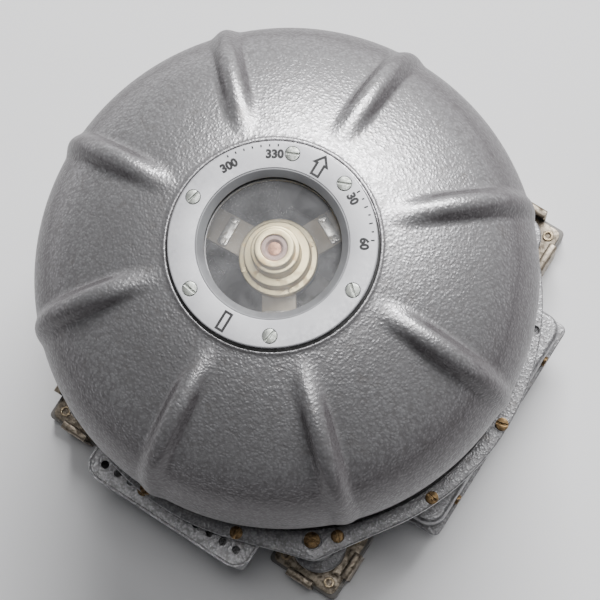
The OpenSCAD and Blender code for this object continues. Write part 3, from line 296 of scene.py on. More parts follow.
def piece(name, shapes, slot, replaces=(), body="unit", finish_name=None, crease=35, cutters=()):
    """Adds a finished piece from one shape or a list of shapes: its mesh, less the cutters' solids, smooth
    shading up to the crease angle, its finish and its body."""
    obj = raw_object(name, shapes if isinstance(shapes, tuple) else joined(shapes))
    if cutters:
        cut(obj, joined(cutters))
    mesh = obj.data
    mesh.name = name
    mesh.shade_smooth()
    mesh.set_sharp_from_angle(angle=math.radians(crease))
    mesh.materials.clear()
    mesh.materials.append(finish(finish_name or slot))
    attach(obj, body)
    if replaces:
        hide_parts(*replaces)
    return obj


# Finishes

class Recipe:
    """A material's node tree, with short calls that add a node and join its sockets. Places are in
    millimetres on the object."""

    def __init__(self, name):
        material = bpy.data.materials.new(name)
        material.use_nodes = True
        self.tree = material.node_tree
        self.tree.nodes.clear()
        output = self.tree.nodes.new("ShaderNodeOutputMaterial")
        self.shader = self.tree.nodes.new("ShaderNodeBsdfPrincipled")
        self.tree.links.new(self.shader.outputs[0], output.inputs[0])
        where = self.tree.nodes.new("ShaderNodeTexCoord")
        self.place = self.stretch(1 / MM, 1 / MM, 1 / MM, where.outputs["Object"])
        self.facing = where.outputs["Normal"]

    def fill(self, node, inputs):
        """Each input is a socket to join or a plain value."""
        for key, value in inputs.items():
            if isinstance(value, bpy.types.NodeSocket):
                self.tree.links.new(value, node.inputs[key])
            else:
                node.inputs[key].default_value = value

    def add(self, kind, inputs, out=0, **settings):
        """Adds a node and returns one of its outputs."""
        node = self.tree.nodes.new(kind)
        for key, value in settings.items():
            setattr(node, key, value)
        self.fill(node, inputs)
        return node.outputs[out]

    def set(self, **inputs):
        self.fill(self.shader, {key.replace("_", " "): value for key, value in inputs.items()})

    def noise(self, size, detail=2.0, twist=0.0, place=None):
        return self.add("ShaderNodeTexNoise", {
            "Vector": place or self.place, "Scale": 1 / size, "Detail": detail, "Distortion": twist})

    def stretch(self, x, y, z, place=None):
        return self.add("ShaderNodeMapping", {"Vector": place or self.place, "Scale": (x, y, z)})

    def spread(self, value, low, high, to_low=0.0, to_high=1.0):
        return self.add("ShaderNodeMapRange", {
            "Value": value, "From Min": low, "From Max": high, "To Min": to_low, "To Max": to_high})

    def sum(self, a, b, weight=1.0):
        """a plus weight times b."""
        return self.add("ShaderNodeMath", {0: b, 1: weight, 2: a}, operation="MULTIPLY_ADD")

    def mix(self, share, a, b):
        rgba = lambda c: c if isinstance(c, bpy.types.NodeSocket) else (*c, 1.0)
        return self.add("ShaderNodeMix", {0: share, 6: rgba(a), 7: rgba(b)}, out=2, data_type="RGBA")

    def bump(self, height, depth):
        """Bump whose full height is depth millimetres."""
        values = {"Height": height, "Distance": depth * MM, "Strength": 1.0}
        self.set(Normal=self.add("ShaderNodeBump", values))


STAIN = (0.2, 0.17, 0.145)
# Painted shade: the near-black that steep flanks are darkened towards
FLANK_SHADE = (0.045, 0.037, 0.041)


def hammertone(r, light, dark, grain, depth, metallic, gloss, flank=0.0):
    """Hammered paint: soft pebbles of about the grain's size, warped so that none repeats, with a finer
    wrinkle over them, lighter on the crests and darker in the valleys. On steep flanks, by the share flank,
    the colour is darkened towards a near-black as a painted shade, and the paint is less metallic and
    has no coat."""
    warp = r.add("ShaderNodeTexNoise", {"Vector": r.place, "Scale": 0.3 / grain, "Detail": 3.0}, out=1)
    place = r.add("ShaderNodeVectorMath", {0: warp, 1: (1.5 * grain,) * 3, 2: r.place},
                  operation="MULTIPLY_ADD")
    cells = r.add("ShaderNodeTexVoronoi", {"Vector": place, "Scale": 1 / grain, "Smoothness": 0.45},
                  feature="SMOOTH_F1")
    pebbles = r.spread(cells, 0.62, 0.1)
    lumps = r.noise(1.9 * grain, 2.0, 0.5)
    wrinkle = r.noise(0.5 * grain, 2.0, 0.4)
    height = r.sum(r.sum(r.spread(pebbles, 0, 1, 0, 0.42), lumps, 0.75), wrinkle, 0.3)
    tone = r.spread(height, 0.42, 0.86)
    cloud = r.spread(r.noise(38.0, 3.0), 0.38, 0.7, 0.0, 0.4)
    grime = r.spread(r.noise(8.0, 5.0, 0.4), 0.6, 0.76, 0.0, 0.3)
    colour = r.mix(grime, r.mix(cloud, r.mix(tone, dark, light), dark), STAIN)
    coat = 0.2
    if flank:
        upwards = r.add("ShaderNodeSeparateXYZ", {0: r.facing}, out=2)
        # Painted shade: steep flanks are darkened towards a near-black, and lose metal and coat
        colour = r.mix(r.spread(upwards, 0.93, 0.6, 0.0, flank), colour, FLANK_SHADE)
        metallic = r.spread(upwards, 0.92, 0.5, metallic, 0.25)
        coat = r.spread(upwards, 0.92, 0.5, coat, 0.0)
    r.set(Base_Color=colour, Metallic=metallic, Roughness=r.spread(height, 0.4, 0.9, gloss + 0.12, gloss),
          Coat_Weight=coat, Coat_Roughness=0.25)
    r.bump(height, depth)


def hood_paint(r):
    """Hammered paint in the colours and the grain of the settings."""
    paint = bpy.context.scene.gyro_colours
    # The last value, 0.85, is the share of painted shade on the hood's steep flanks
    hammertone(r, tuple(paint.hood_light), tuple(paint.hood_dark), paint.grain / MM, 0.27, 0.8, 0.33, 0.85)


def smooth_paint(r, light, dark, gloss=0.4, metallic=0.0, chips=None):
    """Smooth paint with faint clouds, fine specks and, where chips is a colour, worn spots."""
    colour = r.mix(r.spread(r.noise(14.0, 4.0), 0.35, 0.7), light, dark)
    specks = r.spread(r.noise(0.5, 2.0), 0.68, 0.76, 0.0, 0.5)
    colour = r.mix(specks, colour, [0.5 * c for c in dark])
    if chips:
        colour = r.mix(r.spread(r.noise(5.0, 6.0, 0.8), 0.66, 0.7), colour, chips)
    rough = r.spread(r.noise(2.0, 3.0), 0.3, 0.7, gloss - 0.06, gloss + 0.1)
    r.set(Base_Color=colour, Metallic=metallic, Roughness=rough)
    r.bump(r.noise(0.9, 3.0), 0.02)


def metal(r, clean, tarnish, gloss=0.3, wear=0.5, scale=4.0, depth=0.02, metallic=1.0):
    """Bare or plated metal: tarnish in clouds, fine scratches one way and pits."""
    spots = r.spread(r.noise(scale, 5.0, 0.5), 0.62 - 0.3 * wear, 0.72)
    scratch = r.noise(0.35, 2.0, 0.0, r.stretch(1.0, 0.12, 1.0))
    colour = r.mix(spots, clean, tarnish)
    colour = r.mix(r.spread(scratch, 0.45, 0.75, 0.0, 0.3), colour, [min(1.0, 1.25 * c) for c in clean])
    rough = r.spread(spots, 0, 1, gloss, min(0.9, gloss + 0.28))
    r.set(Base_Color=colour, Metallic=metallic, Roughness=rough)
    r.bump(r.sum(scratch, r.noise(0.8, 3.0), 0.8), depth)


def moulding(r, light, dark, gloss=0.5, grain=1.5, depth=0.03, veins=0.0):
    """Moulded plastic or rubber, with a fine grain and dusty patches."""
    colour = r.mix(r.spread(r.noise(7.0, 5.0, veins), 0.4, 0.72), dark, light)
    r.set(Base_Color=colour, Roughness=r.spread(r.noise(3.0, 3.0), 0.3, 0.7, gloss - 0.08, gloss + 0.12))
    r.bump(r.noise(grain, 4.0), depth)


def windings(r, light, dark):
    """Lacquered wire laid in fine turns round the vertical."""
    turns = r.add("ShaderNodeTexWave", {"Vector": r.place, "Scale": 0.45, "Distortion": 0.6, "Detail": 1.0},
                  bands_direction="Z")
    r.set(Base_Color=r.mix(turns, dark, light), Metallic=0.7, Roughness=0.35)
    r.bump(turns, 0.2)


def braid(r, light, dark):
    """Lacquered cloth braid: two sets of slanting strands."""
    one, two = (r.add("ShaderNodeTexWave", {"Vector": place, "Scale": 0.5, "Distortion": 0.4},
                      bands_direction="DIAGONAL") for place in (r.place, r.stretch(-1, 1, 1)))
    weave = r.sum(one, two)
    r.set(Base_Color=r.mix(r.spread(weave, 0.3, 1.7), dark, light), Roughness=0.7)
    r.bump(weave, 0.25)


def window_pane(r):
    """Old glass: clear, with a thin grey haze that is denser in smudges."""
    haze = r.spread(r.noise(11.0, 4.0, 0.8), 0.3, 0.75, 0.06, 0.12)
    r.set(Base_Color=(0.6, 0.6, 0.62, 1), Roughness=0.08, Alpha=haze, Specular_IOR_Level=0.3)


def floor_paper(r):
    """Matt paper with a barely seen tooth."""
    floor = tuple(bpy.context.scene.gyro_stage.floor_colour)
    r.set(Base_Color=r.mix(r.noise(60.0, 2.0), floor, [0.985 * c for c in floor]), Roughness=0.9)
    r.bump(r.noise(1.2, 3.0), 0.03)


# Each finish: the function that fills its recipe, and that function's values in order
FINISHES = {
    "hood_hammertone": (hood_paint,),
    "base_hammertone": (hammertone, (0.38, 0.38, 0.39), (0.2, 0.195, 0.2), 1.4, 0.28, 0.7, 0.35),
    "frame_paint": (smooth_paint, (0.21, 0.2, 0.185), (0.14, 0.13, 0.12), 0.45, 0.0, (0.3, 0.28, 0.25)),
    "ring_paint": (smooth_paint, (0.58, 0.58, 0.6), (0.5, 0.5, 0.525), 0.4, 0.35),
    "bevel_grey": (smooth_paint, (0.27, 0.275, 0.285), (0.21, 0.21, 0.22), 0.42, 0.3),
    "black_paint": (smooth_paint, (0.012, 0.012, 0.014), (0.006, 0.006, 0.007), 0.5),
    "bridge_beige": (smooth_paint, (0.5, 0.44, 0.34), (0.4, 0.34, 0.26), 0.5),
    "brass_old": (metal, (0.27, 0.18, 0.09), (0.06, 0.038, 0.022), 0.36, 0.75, 2.2, 0.05),
    "brass_bright": (metal, (0.88, 0.72, 0.42), (0.72, 0.52, 0.27), 0.2, 0.3, 6.0, 0.01),
    "cap_brass": (metal, (1.0, 0.84, 0.5), (0.95, 0.7, 0.34), 0.38, 0.25, 6.0, 0.01, 0.8),
    "copper": (windings, (0.52, 0.26, 0.15), (0.16, 0.07, 0.04)),
    "plug_copper": (metal, (0.62, 0.34, 0.22), (0.3, 0.15, 0.1), 0.35, 0.5, 1.5),
    "plug_pink": (metal, (0.5, 0.36, 0.32), (0.36, 0.25, 0.23), 0.45, 0.5, 2.0, 0.02, 0.3),
    "screw_steel": (metal, (0.42, 0.44, 0.41), (0.26, 0.27, 0.24), 0.34, 0.5, 2.0, 0.04, 0.8),
    "steel": (metal, (0.55, 0.54, 0.51), (0.3, 0.27, 0.22), 0.3, 0.45, 3.0),
    "bearing_steel": (metal, (0.72, 0.73, 0.74), (0.5, 0.49, 0.46), 0.14, 0.2, 5.0, 0.005),
    "cadmium": (metal, (0.36, 0.31, 0.245), (0.09, 0.07, 0.05), 0.4, 0.7, 2.6, 0.06, 0.8),
    "cadmium_warm": (metal, (0.46, 0.37, 0.25), (0.15, 0.11, 0.07), 0.34, 0.55, 1.6, 0.04, 0.9),
    "connector_metal": (metal, (0.56, 0.55, 0.5), (0.3, 0.28, 0.23), 0.34, 0.4, 3.0, 0.02, 0.9),
    "gimbal_alloy": (metal, (0.36, 0.35, 0.33), (0.2, 0.19, 0.17), 0.45, 0.5, 6.0, 0.05, 0.7),
    "housing_alloy": (metal, (0.5, 0.5, 0.5), (0.3, 0.3, 0.29), 0.36, 0.4, 8.0, 0.03, 0.9),
    "gold_contact": (metal, (0.85, 0.62, 0.25), (0.6, 0.4, 0.15), 0.2, 0.2, 2.0, 0.005),
    "rubber_brown": (moulding, (0.07, 0.055, 0.045), (0.02, 0.016, 0.013), 0.6, 0.8, 0.05),
    "rubber_black": (moulding, (0.03, 0.03, 0.03), (0.012, 0.012, 0.012), 0.6, 0.8, 0.04),
    "black_plastic": (moulding, (0.035, 0.035, 0.038), (0.018, 0.018, 0.02)),
    "brown_plastic": (moulding, (0.12, 0.06, 0.03), (0.045, 0.022, 0.012), 0.32, 2.0, 0.02, 1.5),
    "glass_grey": (moulding, (0.4, 0.46, 0.48), (0.3, 0.36, 0.38), 0.16, 3.0, 0.01),
    "loom_cloth": (braid, (0.2, 0.16, 0.11), (0.06, 0.045, 0.03)),
    "glass": (window_pane,),
    "floor_paper": (floor_paper,),
}


def finish(name):
    """The finish of that name, made at its first use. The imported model's own materials have bare names."""
    own = "finish_" + name
    if own not in bpy.data.materials:
        fill, *values = FINISHES[name]
        fill(Recipe(own), *values)
    return bpy.data.materials[own]


# Settings

class GyroHood(bpy.types.PropertyGroup):
    """Sizes of the ribbed hood."""

    fillet: FloatProperty(name="Rib fillet", description="Width over which a rib blends into the dome",
                          default=0.0035, min=0.001, max=0.012, unit="LENGTH")
    around: IntProperty(name="Steps around", description="Points round the hood",
                        default=640, min=160, max=800)


class GyroColours(bpy.types.PropertyGroup):
    """Colours and grain of the hammered paint."""

    hood_light: FloatVectorProperty(
        name="Paint crests", description="Colour on the crests of the hood's paint",
        default=(0.56, 0.555, 0.57), subtype="COLOR", min=0, max=1)
    hood_dark: FloatVectorProperty(
        name="Paint valleys", description="Colour in the valleys of the hood's paint",
        default=(0.33, 0.322, 0.328), subtype="COLOR", min=0, max=1)
    grain: FloatProperty(name="Grain", description="Size of a pebble in the hood's paint", default=0.0016,
                         min=0.0005, max=0.004, unit="LENGTH")


class GyroStage(bpy.types.PropertyGroup):
    """Floor, lights and camera."""

    floor_colour: FloatVectorProperty(
        name="Floor", description="Colour of the floor", default=(0.82, 0.82, 0.83),
        subtype="COLOR", min=0, max=1)
    key_power: FloatProperty(name="Key light", description="Power of the large soft light", default=150.0,
                             min=0, unit="POWER")
    lens: FloatProperty(name="Focal length", description="Focal length of the camera, in millimetres",
                        default=108.0, min=20, max=400)


# Hood

CROWN_R, CROWN_Z = 179.74, -99.24
SHOULDER_R, SHOULDER_X = 60.0, 67.0
RIB_R, RIB_LINE_R, RIB_X, RIB_Z = 6.0, 60.0, 62.2, 4.2
RIB_END = math.radians(-8)
RIBS = 8
HOOD_TURN = 1.4
HOOD_WALL = 2.5
FOOT_R, SKIRT = 122.6, 67.5


def rib_distance(rho, theta, z, radius):
    """Distance to the nearest rib: a round rod of that radius, bent along an arc in the plane of its rib,
    with a round end low on the shoulder."""
    step = 2 * np.pi / RIBS
    fold = (theta - math.radians(90) + step / 2) % step - step / 2
    u, v = rho * np.cos(fold), rho * np.sin(fold)
    du, dz = u - RIB_X, z - RIB_Z
    along = np.hypot(np.hypot(du, dz) - RIB_LINE_R, v)
    end_u, end_z = RIB_LINE_R * math.cos(RIB_END), RIB_LINE_R * math.sin(RIB_END)
    tip = np.sqrt((du - end_u) ** 2 + v ** 2 + (dz - end_z) ** 2)
    return np.where(np.arctan2(dz, du) > RIB_END, along, tip) - radius


def hood_shape(around, fillet):
    """Dome of two arcs and a skirt, carried round the axis. Each point is then moved out along the arc's
    normal until it meets the smooth union of dome and ribs: smin(a, b) = min(a, b) - (k - |a - b|)^2 / 4k
    where |a - b| < k, and min(a, b) elsewhere. The wall's inner side is found the same way."""
    theta = np.arange(around) * (2 * np.pi / around)

    def side(depth, crown_steps, shoulder_steps, skirt_steps, start_r):
        """Radius, height and the normal's angle, from the skirt's foot up to start_r on the crown."""
        joint = math.atan2(-CROWN_Z, SHOULDER_X)
        top = math.acos(start_r / (CROWN_R - depth))
        low = np.linspace(0, joint, shoulder_steps)
        high = np.linspace(joint, top, crown_steps)[1:]
        line = np.linspace(4 - SKIRT, -1.5, skirt_steps)
        slope = (SHOULDER_X + SHOULDER_R - FOOT_R) / SKIRT
        shoulder, crown = SHOULDER_R - depth, CROWN_R - depth
        radius = [FOOT_R - depth + (line + SKIRT) * slope, SHOULDER_X + shoulder * np.cos(low),
                  crown * np.cos(high)]
        height = [line, shoulder * np.sin(low), CROWN_Z + crown * np.sin(high)]
        angle = [np.zeros(skirt_steps), low, high]
        return (np.concatenate(column)[:, None] for column in (radius, height, angle))

    def ribbed(depth, steps, start_r, rod_r, k):
        radius, height, angle = side(depth, *steps, start_r)
        t = np.full((len(radius), around), 15.0)
        for _ in range(60):
            rho, z = radius + t * np.cos(angle), height + t * np.sin(angle)
            b = rib_distance(rho, theta[None], z, rod_r)
            t = t - 0.8 * (np.minimum(t, b) - np.maximum(k - np.abs(t - b), 0) ** 2 / (4 * k))
        t = np.maximum(t, 0)
        rho, z = radius + t * np.cos(angle), height + t * np.sin(angle)
        return np.stack([rho * np.cos(theta), rho * np.sin(theta), z], 2)

    outer = ribbed(0.0, (34, 48, 30), 52.4, RIB_R, fillet)
    inner = ribbed(HOOD_WALL, (10, 16, 8), 53.5, RIB_R - HOOD_WALL, fillet / 2)[::-1]
    crown = lambda r: CROWN_Z + math.sqrt(CROWN_R ** 2 - r ** 2)
    rises = [(51.9, 0.12), (51.5, 0.42), (51, 0.5), (50.5, 0.36), (50.2, -0.1), (49.9, -0.5), (48.6, -0.5)]
    bead = [(r, crown(r) + rise) for r, rise in rises]
    pad = [(48, 73.7), (41.35, 73.7), (41.05, 73.4), (41.05, 69), (41.35, 68.7), (50.6, 68.7), (51, 68.9)]
    foot = [(125.2, -74.2), (125.2, -71.8), (124.9, -71.5), (122.9, -71.5), (122.6, -71.2), (122.6, -67.5)]
    lip = [(120.1, -67.5), (120.1, -74.2), (120.4, -74.5), (124.9, -74.5)]
    foot, top, lip = (around_axis(line, around) for line in (foot, bead + pad, lip))
    return loft(np.concatenate([foot, outer, top, inner, lip]), closed=True)


class GYRO_OT_hood(bpy.types.Operator):
    """Build the ribbed hood"""

    bl_idname = "gyro.hood"
    bl_label = "Hood"

    def execute(self, context):
        sizes = context.scene.gyro_hood
        shape = moved(hood_shape(sizes.around, sizes.fillet / MM), (0, 0, EQUATOR_Z), HOOD_TURN)
        piece("hood_casting", shape, "hood_hammertone", ["hood"], crease=60)
        gasket = lathed(rectangle(120.2, 83.6, 125.1, 84.9), 0.5, 3, 128)
        piece("hood_seal", gasket, "rubber_black", ["hood_gasket"])
        return {"FINISHED"}


# Window

# Each screw's place round the ring and the turn of its slot, in degrees
RING_SCREWS = [(19, 26.0), (90, 75.0), (150, -8.0), (-19, 23.0), (-90, -42.0), (-150, 79.0)]
RING_SCREW_R = 43.5
MARK_WIDTH, TICK_WIDTH, MARK_TOP = 1.2, 0.7, 0.05


def slotted_head(radius, height, slot, depth, edge):
    """Cheese head with a slot: a disc below, and two lands above whose outlines are circle segments."""
    opening = math.asin(slot / 2 / radius)
    land = directions(np.linspace(opening, np.pi - opening, 19)) * radius
    upper = slab(land, [(0, height - depth - 0.05), (0, height - edge),
                        (0.3 * edge, height - 0.3 * edge), (edge, height)])
    lower = disc(36, radius, [(0.2, 0), (0, 0.2), (0, height - depth)])
    return joined([lower, upper, moved(upper, turn=180)])


def stroke(points, width, low, high, closed=False):
    """Flat raised line of even width along a run of points: both of its edges follow the mitres."""
    p = np.asarray(points, float)
    if closed:
        half = width / 2
        return loft(layered(p, [(-half, low), (-half, high), (half, high), (half, low)]), closed=True)
    along = unit(np.gradient(p, axis=0))
    side = np.stack([along[:, 1], -along[:, 0]], 1) * (width / 2)
    return slab(np.vstack([p + side, (p - side)[::-1]]), [(0, low), (0, high)])


def numerals(text, size, at, turn):
    """Raised numerals, as a mesh of its own in millimetres."""
    curve = bpy.data.curves.new("numerals", "FONT")
    curve.body, curve.size, curve.extrude, curve.offset = text, size, 0.03, 0.32
    curve.align_x, curve.align_y, curve.resolution_u = "CENTER", "CENTER", 3
    holder = bpy.data.objects.new("numerals", curve)
    bpy.context.scene.collection.objects.link(holder)
    mesh = evaluated_mesh(holder)
    verts = np.empty(len(mesh.vertices) * 3)
    mesh.vertices.foreach_get("co", verts)
    faces = [np.array([list(f.vertices)]) for f in mesh.polygons]
    bpy.data.objects.remove(holder)
    bpy.data.curves.remove(curve)
    bpy.data.meshes.remove(mesh)
    return moved((verts.reshape(-1, 3), faces), at, turn)


def on_ring(shape, degrees=0.0):
    """Places a shape that is drawn with the flight direction along +Y on the window ring's face."""
    return moved(shape, (0, 0, RING_Z), HOOD_TURN + degrees)


class GYRO_OT_window(bpy.types.Operator):
    """Build the window ring with its marks and screws, the bevelled ring, the glass and its seals"""

    bl_idname = "gyro.window"
    bl_label = "Window"

    def execute(self, context):
        rim = lathed([(49, PAD_Z), (49, RING_Z), (36, RING_Z), (36, 227.5), (32.2, 227.5), (32.2, 226),
                      (41, 226), (41, PAD_Z)], [0.15, 0.7, 0.35, 0.1, 0.2, 0.2, 0.2, 0.1], 4, 160)
        sinks, heads = [], []
        for place, slot_at in RING_SCREWS:
            x, y = polar(RING_SCREW_R, 90 + HOOD_TURN + place)
            sinks.append(disc(40, 3.62, [(0, SINK_Z), (0, 235.85), (-0.25, 236.2)], (x, y, 0)))
            heads.append(moved(slotted_head(3.35, 1.9, 0.9, 1.1, 0.22), (x, y, SINK_Z), slot_at))
            shank = turned(rectangle(0.05, 221.5, 2, 234.5), 24, False)
            heads.append(moved(shank, (x, y, 0)))
        piece("window_rim", rim, "ring_paint", ["window_ring"], cutters=sinks)
        piece("window_screws", heads, "screw_steel", ["ring_screws"])
        bevel = lathed([(32.2, 232.8), (35.95, 232.8), (35.95, 235.6), (35.3, 235.6), (32.2, 233.2)],
                       [0.05, 0.05, 0.1, 0.3, 0.1], 3, 160)
        piece("bevelled_ring", bevel, "bevel_grey", ["bevel_ring"])
        low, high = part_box("window_glass")
        pane = disc(128, 35.8, eased(low.z / MM, high.z / MM, 0.3))
        piece("window_pane", pane, "glass", ["window_glass"])
        seal = lathed(rectangle(32.6, 227.5, 35.8, 228.3), 0.25, 3, 96)
        piece("pane_seal", seal, "rubber_black", ["window_gasket"])
        # A dark seal below the ring. It is shifted towards the rear right, so that the wider dark band it
        #         # shows on that side is a painted shadow under the ring's edge.
        seal_and_shadow_band = lathed([(41.2, 232.5), (50.0, 232.5), (49.7, 233.25), (41.2, 233.25)], 0.15, 2, 128)
        piece("rim_seal_and_shadow", moved(seal_and_shadow_band, (0.42, -0.62, 0)), "rubber_black")
        self.marks()
        return {"FINISHED"}

    def marks(self):
        """Black marks: an outlined arrow ahead, an outlined bar behind, a line at each, and plain degrees."""
        arrow = [(-1.85, 37.6), (1.85, 37.6), (1.85, 43.4), (3.2, 43.4), (0, 47.6), (-3.2, 43.4),
                 (-1.85, 43.4)]
        bar = rectangle(-1.65, -46.9, 1.65, -38.2)
        shapes = [on_ring(stroke(line, MARK_WIDTH, -MARK_TOP, MARK_TOP, True)) for line in (arrow, bar)]
        for degrees in (*range(-58, -26, 5), *range(28, 60, 5)):
            start = 45.6 if degrees % 10 == 8 else 46.2
            shapes.append(on_ring(stroke([(0, start), (0, 47.4)], TICK_WIDTH, -MARK_TOP, MARK_TOP), -degrees))
        for degrees, text in ((30, "30"), (60, "60"), (-30, "330"), (-60, "300")):
            shapes.append(on_ring(numerals(text, 5.6, ring_at(42.4, 90 - degrees, 0.02), -degrees)))
        piece("ring_marks", shapes, "black_paint")
        quad = np.c_[rectangle(-0.28, 32.5, 0.28, 35.6), (233.3, 233.3, 235.6, 235.6)]
        line = loft([quad, quad + [0, 0, 0.08]])
        piece("bevel_lines", [moved(line, turn=turn + HOOD_TURN) for turn in (2.5, 182.5)], "black_paint")


# Under the glass

class GYRO_OT_bearing(bpy.types.Operator):
    """Build the bridge, the stepped bearing cap, its screws and plug, and the wire clamps"""

    bl_idname = "gyro.bearing"
    bl_label = "Upper bearing"

    def execute(self, context):
        cap = lathed([(19.1, 0), (19.1, 4), (16, 4), (16, 11), (11.7, 11), (11.7, 21), (9.6, 21), (9.6, 26),
                      (6.4, 26), (6.4, 19), (9.7, 19), (9.7, 9), (11, 9), (11, 0)],
                     [0.2, 0.7, 0.5, 0.8, 0.5, 0.7, 0.5, 0.8, 0.35, 0.2, 0.2, 0.2, 0.2, 0.2], 4, 120)
        piece("stepped_cap", moved(cap, (0, 0, BRIDGE_Z)), "brass_bright", ["bearing_cap"],
              finish_name="cap_brass")
        heads = [moved(slotted_head(1.3, 0.8, 0.35, 0.45, 0.12),
                       ring_at(17.55, 53 + 90 * k, BRIDGE_Z + 4), 40 * k) for k in range(4)]
        piece("cap_screw_heads", heads, "brass_bright", ["cap_screws"], finish_name="cap_brass")
        plug = lathed([(0.3, -4.8), (6.3, -4.8), (6.3, -1), (4.2, -1), (3.4, -2.8), (0.3, -2.8)],
                      [0.1, 0.2, 0.4, 0.4, 0.3, 0.1], 3, 64)
        piece("cap_plug_disc", moved(plug, (0, 0, CAP_TOP)), "copper", ["cap_plug"], finish_name="plug_pink")
        centre = disc(32, 3.2, eased(CAP_TOP - 3.8, CAP_TOP - 2.4, 0.2))
        piece("cap_plug_centre", centre, "copper", finish_name="plug_copper")
        plates = []
        for k in range(3):
            turn = 63 + 120 * k
            at = np.array(ring_at(28, turn, BRIDGE_Z))
            plates.append(moved(slab(box_outline(5, 14.8, 1.2, 3), eased(0, 1.2, 0.25)), at, turn))
            for s in (-1, 1):
                place = at + ring_at(5.6 * s, turn + 90, 1.2)
                plates.append(moved(slotted_head(1.65, 1.2, 0.4, 0.6, 0.2), place, 20 + 50 * k + 30 * s))
        piece("wire_clamps", plates, "steel", ["arm_plate"])
        hub_r, edge = 19, 8.25
        neck = math.degrees(math.asin(edge / hub_r))
        arm = [polar(hub_r, -neck)] + [(88 + x, y) for x, y in (polar(edge, a) for a in range(-90, 91, 15))]
        hub = [polar(hub_r, a) for a in np.linspace(neck, 120 - neck, 12)[:-1]]
        third = np.c_[np.array(arm + hub), np.zeros(len(arm + hub))]
        outline = np.vstack([moved((third, []), turn=63 + 120 * k)[0][:, :2] for k in range(3)])
        arms = plate_with_bore(outline, round_bore(outline, 11.0), BRIDGE_Z - 6, BRIDGE_Z, 0.5)
        piece("bridge_arms", arms, "bridge_beige", ["bridge"])
        return {"FINISHED"}


# Base

def clamp_outline(radius, corner, count=480):
    """Circle with a lug: towards the lug the outline follows the two tangents to a small circle there."""
    a = np.arange(count) * (2 * np.pi / count)
    off = np.abs((a - math.atan2(LUG[1], LUG[0]) + np.pi) % (2 * np.pi) - np.pi)
    small = 3.0
    centre = corner - small
    touch = math.acos((radius - small) / centre)
    tangent = radius / np.cos(np.clip(off - touch, -1.4, 1.4))
    nose = centre * np.cos(off) + np.sqrt(np.maximum(small ** 2 - (centre * np.sin(off)) ** 2, 0))
    edge = math.atan2(small * math.sin(touch), centre + small * math.cos(touch))
    reach = np.where(off < edge, nose, np.where(off < touch, tangent, radius))
    return directions(a) * reach[:, None]


class GYRO_OT_clamp(bpy.types.Operator):
    """Build the clamp ring with its lug, and the screws that hold it"""

    bl_idname = "gyro.clamp"
    bl_label = "Clamp ring"

    def execute(self, context):
        outer = clamp_outline(132.5, 140.4)
        ring = plate_with_bore(outer, unit_circle(len(outer)) * 123.6, 88, FLANGE_Z, 0.8)
        places = [ring_at(FLANGE_SCREW_R, 0.6 + 360 / FLANGE_SCREWS * k) for k in range(FLANGE_SCREWS)]
        holes = [disc(40, 2.25, [(0, 86), (0, 91.6), (-0.6, 92.2)], places[BARE_PLACE]),
                 disc(48, 5.1, [(0, 90), (0, 91.7), (-0.5, 92.2)], LUG),
                 disc(32, 3.2, [(0, 86), (0, 90.5)], LUG)]
        piece("clamp_band", ring, "base_hammertone", ["clamp_ring"], cutters=holes)
        heads = [moved(slotted_head(3.45, 2.4, 1.0, 1.3, 0.35), (x, y, FLANGE_Z), 37 * k + 15)
                 for k, (x, y, _) in enumerate(places) if k != BARE_PLACE]
        piece("clamp_screws", heads, "brass_old", ["flange_screws"])
        bolt = moved(slotted_head(4.4, 3.2, 1.1, 1.6, 0.35), (*LUG[:2], 90), 8)
        shank = turned([(0.05, 4.5), (2.9, 4.5), (3, 4.9), (3, 90), (0.05, 90)], 24, False)
        piece("lug_screw", [bolt, moved(shank, LUG)], "brass_old", ["lug_bolt"])
        return {"FINISHED"}


def drum_arc(first, last):
    """Points along the drum's outside, between two angles in degrees."""
    return directions(np.radians(np.linspace(first, last, 40))) * BOX_FIT_R


def outer_corners(points):
    """The second and third of four corners, rounded; the drum takes up the other two."""
    return rounded(points, [0.1, 10, 10, 0.1], 8)[9:27]


class GYRO_OT_casting(bpy.types.Operator):
    """Build the base casting: drum, rim, feet, shelf, rear tray and receptacle pad"""

    bl_idname = "gyro.casting"
    bl_label = "Base casting"

    def execute(self, context):
        drum = lathed([(0.3, 24), (112, 24), (112, 78), (132, 78), (132, 88), (125.7, 88), (125.7, 83.5),
                       (104, 83.5), (104, 28), (17, 28), (17, 36), (12, 36), (12, 30), (0.3, 30)],
                      [0.05, 2.5, 1.5, 1.5, 0.6, 0.3, 0.3, 0.5, 2, 1, 0.5, 0.3, 0.3, 0.05], 4, 192)
        lug = clamp_outline(132.0, 139.4)
        shapes = [drum, plate_with_bore(lug, unit_circle(len(lug)) * 126.2, 78.2, 87.9, 0.8),
                  disc(40, 9, eased(26, 86, 0.5), LUG)]
        for x, y in ISOLATORS:
            shapes.append(disc(48, 15, eased(25.5, 33.5, 1.0), (x, y, 0)))
            reach, turn = math.hypot(x, y) - 106, math.degrees(math.atan2(y, x))
            arm = slab(box_outline(reach, 28, 0.5, 2), eased(26.5, 32.5, 0.5))
            shapes.append(moved(arm, ring_at(106 + reach / 2, turn), turn))
        shelf = rounded(rectangle(40, -65, 130, 75), [0.5, 4, 4, 0.5], 5)
        shapes.append(slab(shelf, eased(26, 30, 0.6)))
        shapes.append(moved(slab(box_outline(20, 84, 3), eased(34, 74, 1.5)), (-106, 0, 0)))
        piece("base_casting", shapes, "base_hammertone", ["chassis"])
        outer, inner = box_outline(99, 40, 3), box_outline(93, 34, 1.5)
        tray = joined([plate_with_bore(outer, inner, 40, 70, 0.5), slab(outer, eased(40, 43, 1.0))])
        piece("rear_tray", moved(tray, (0.5, -119, 0)), "base_hammertone")
        return {"FINISHED"}


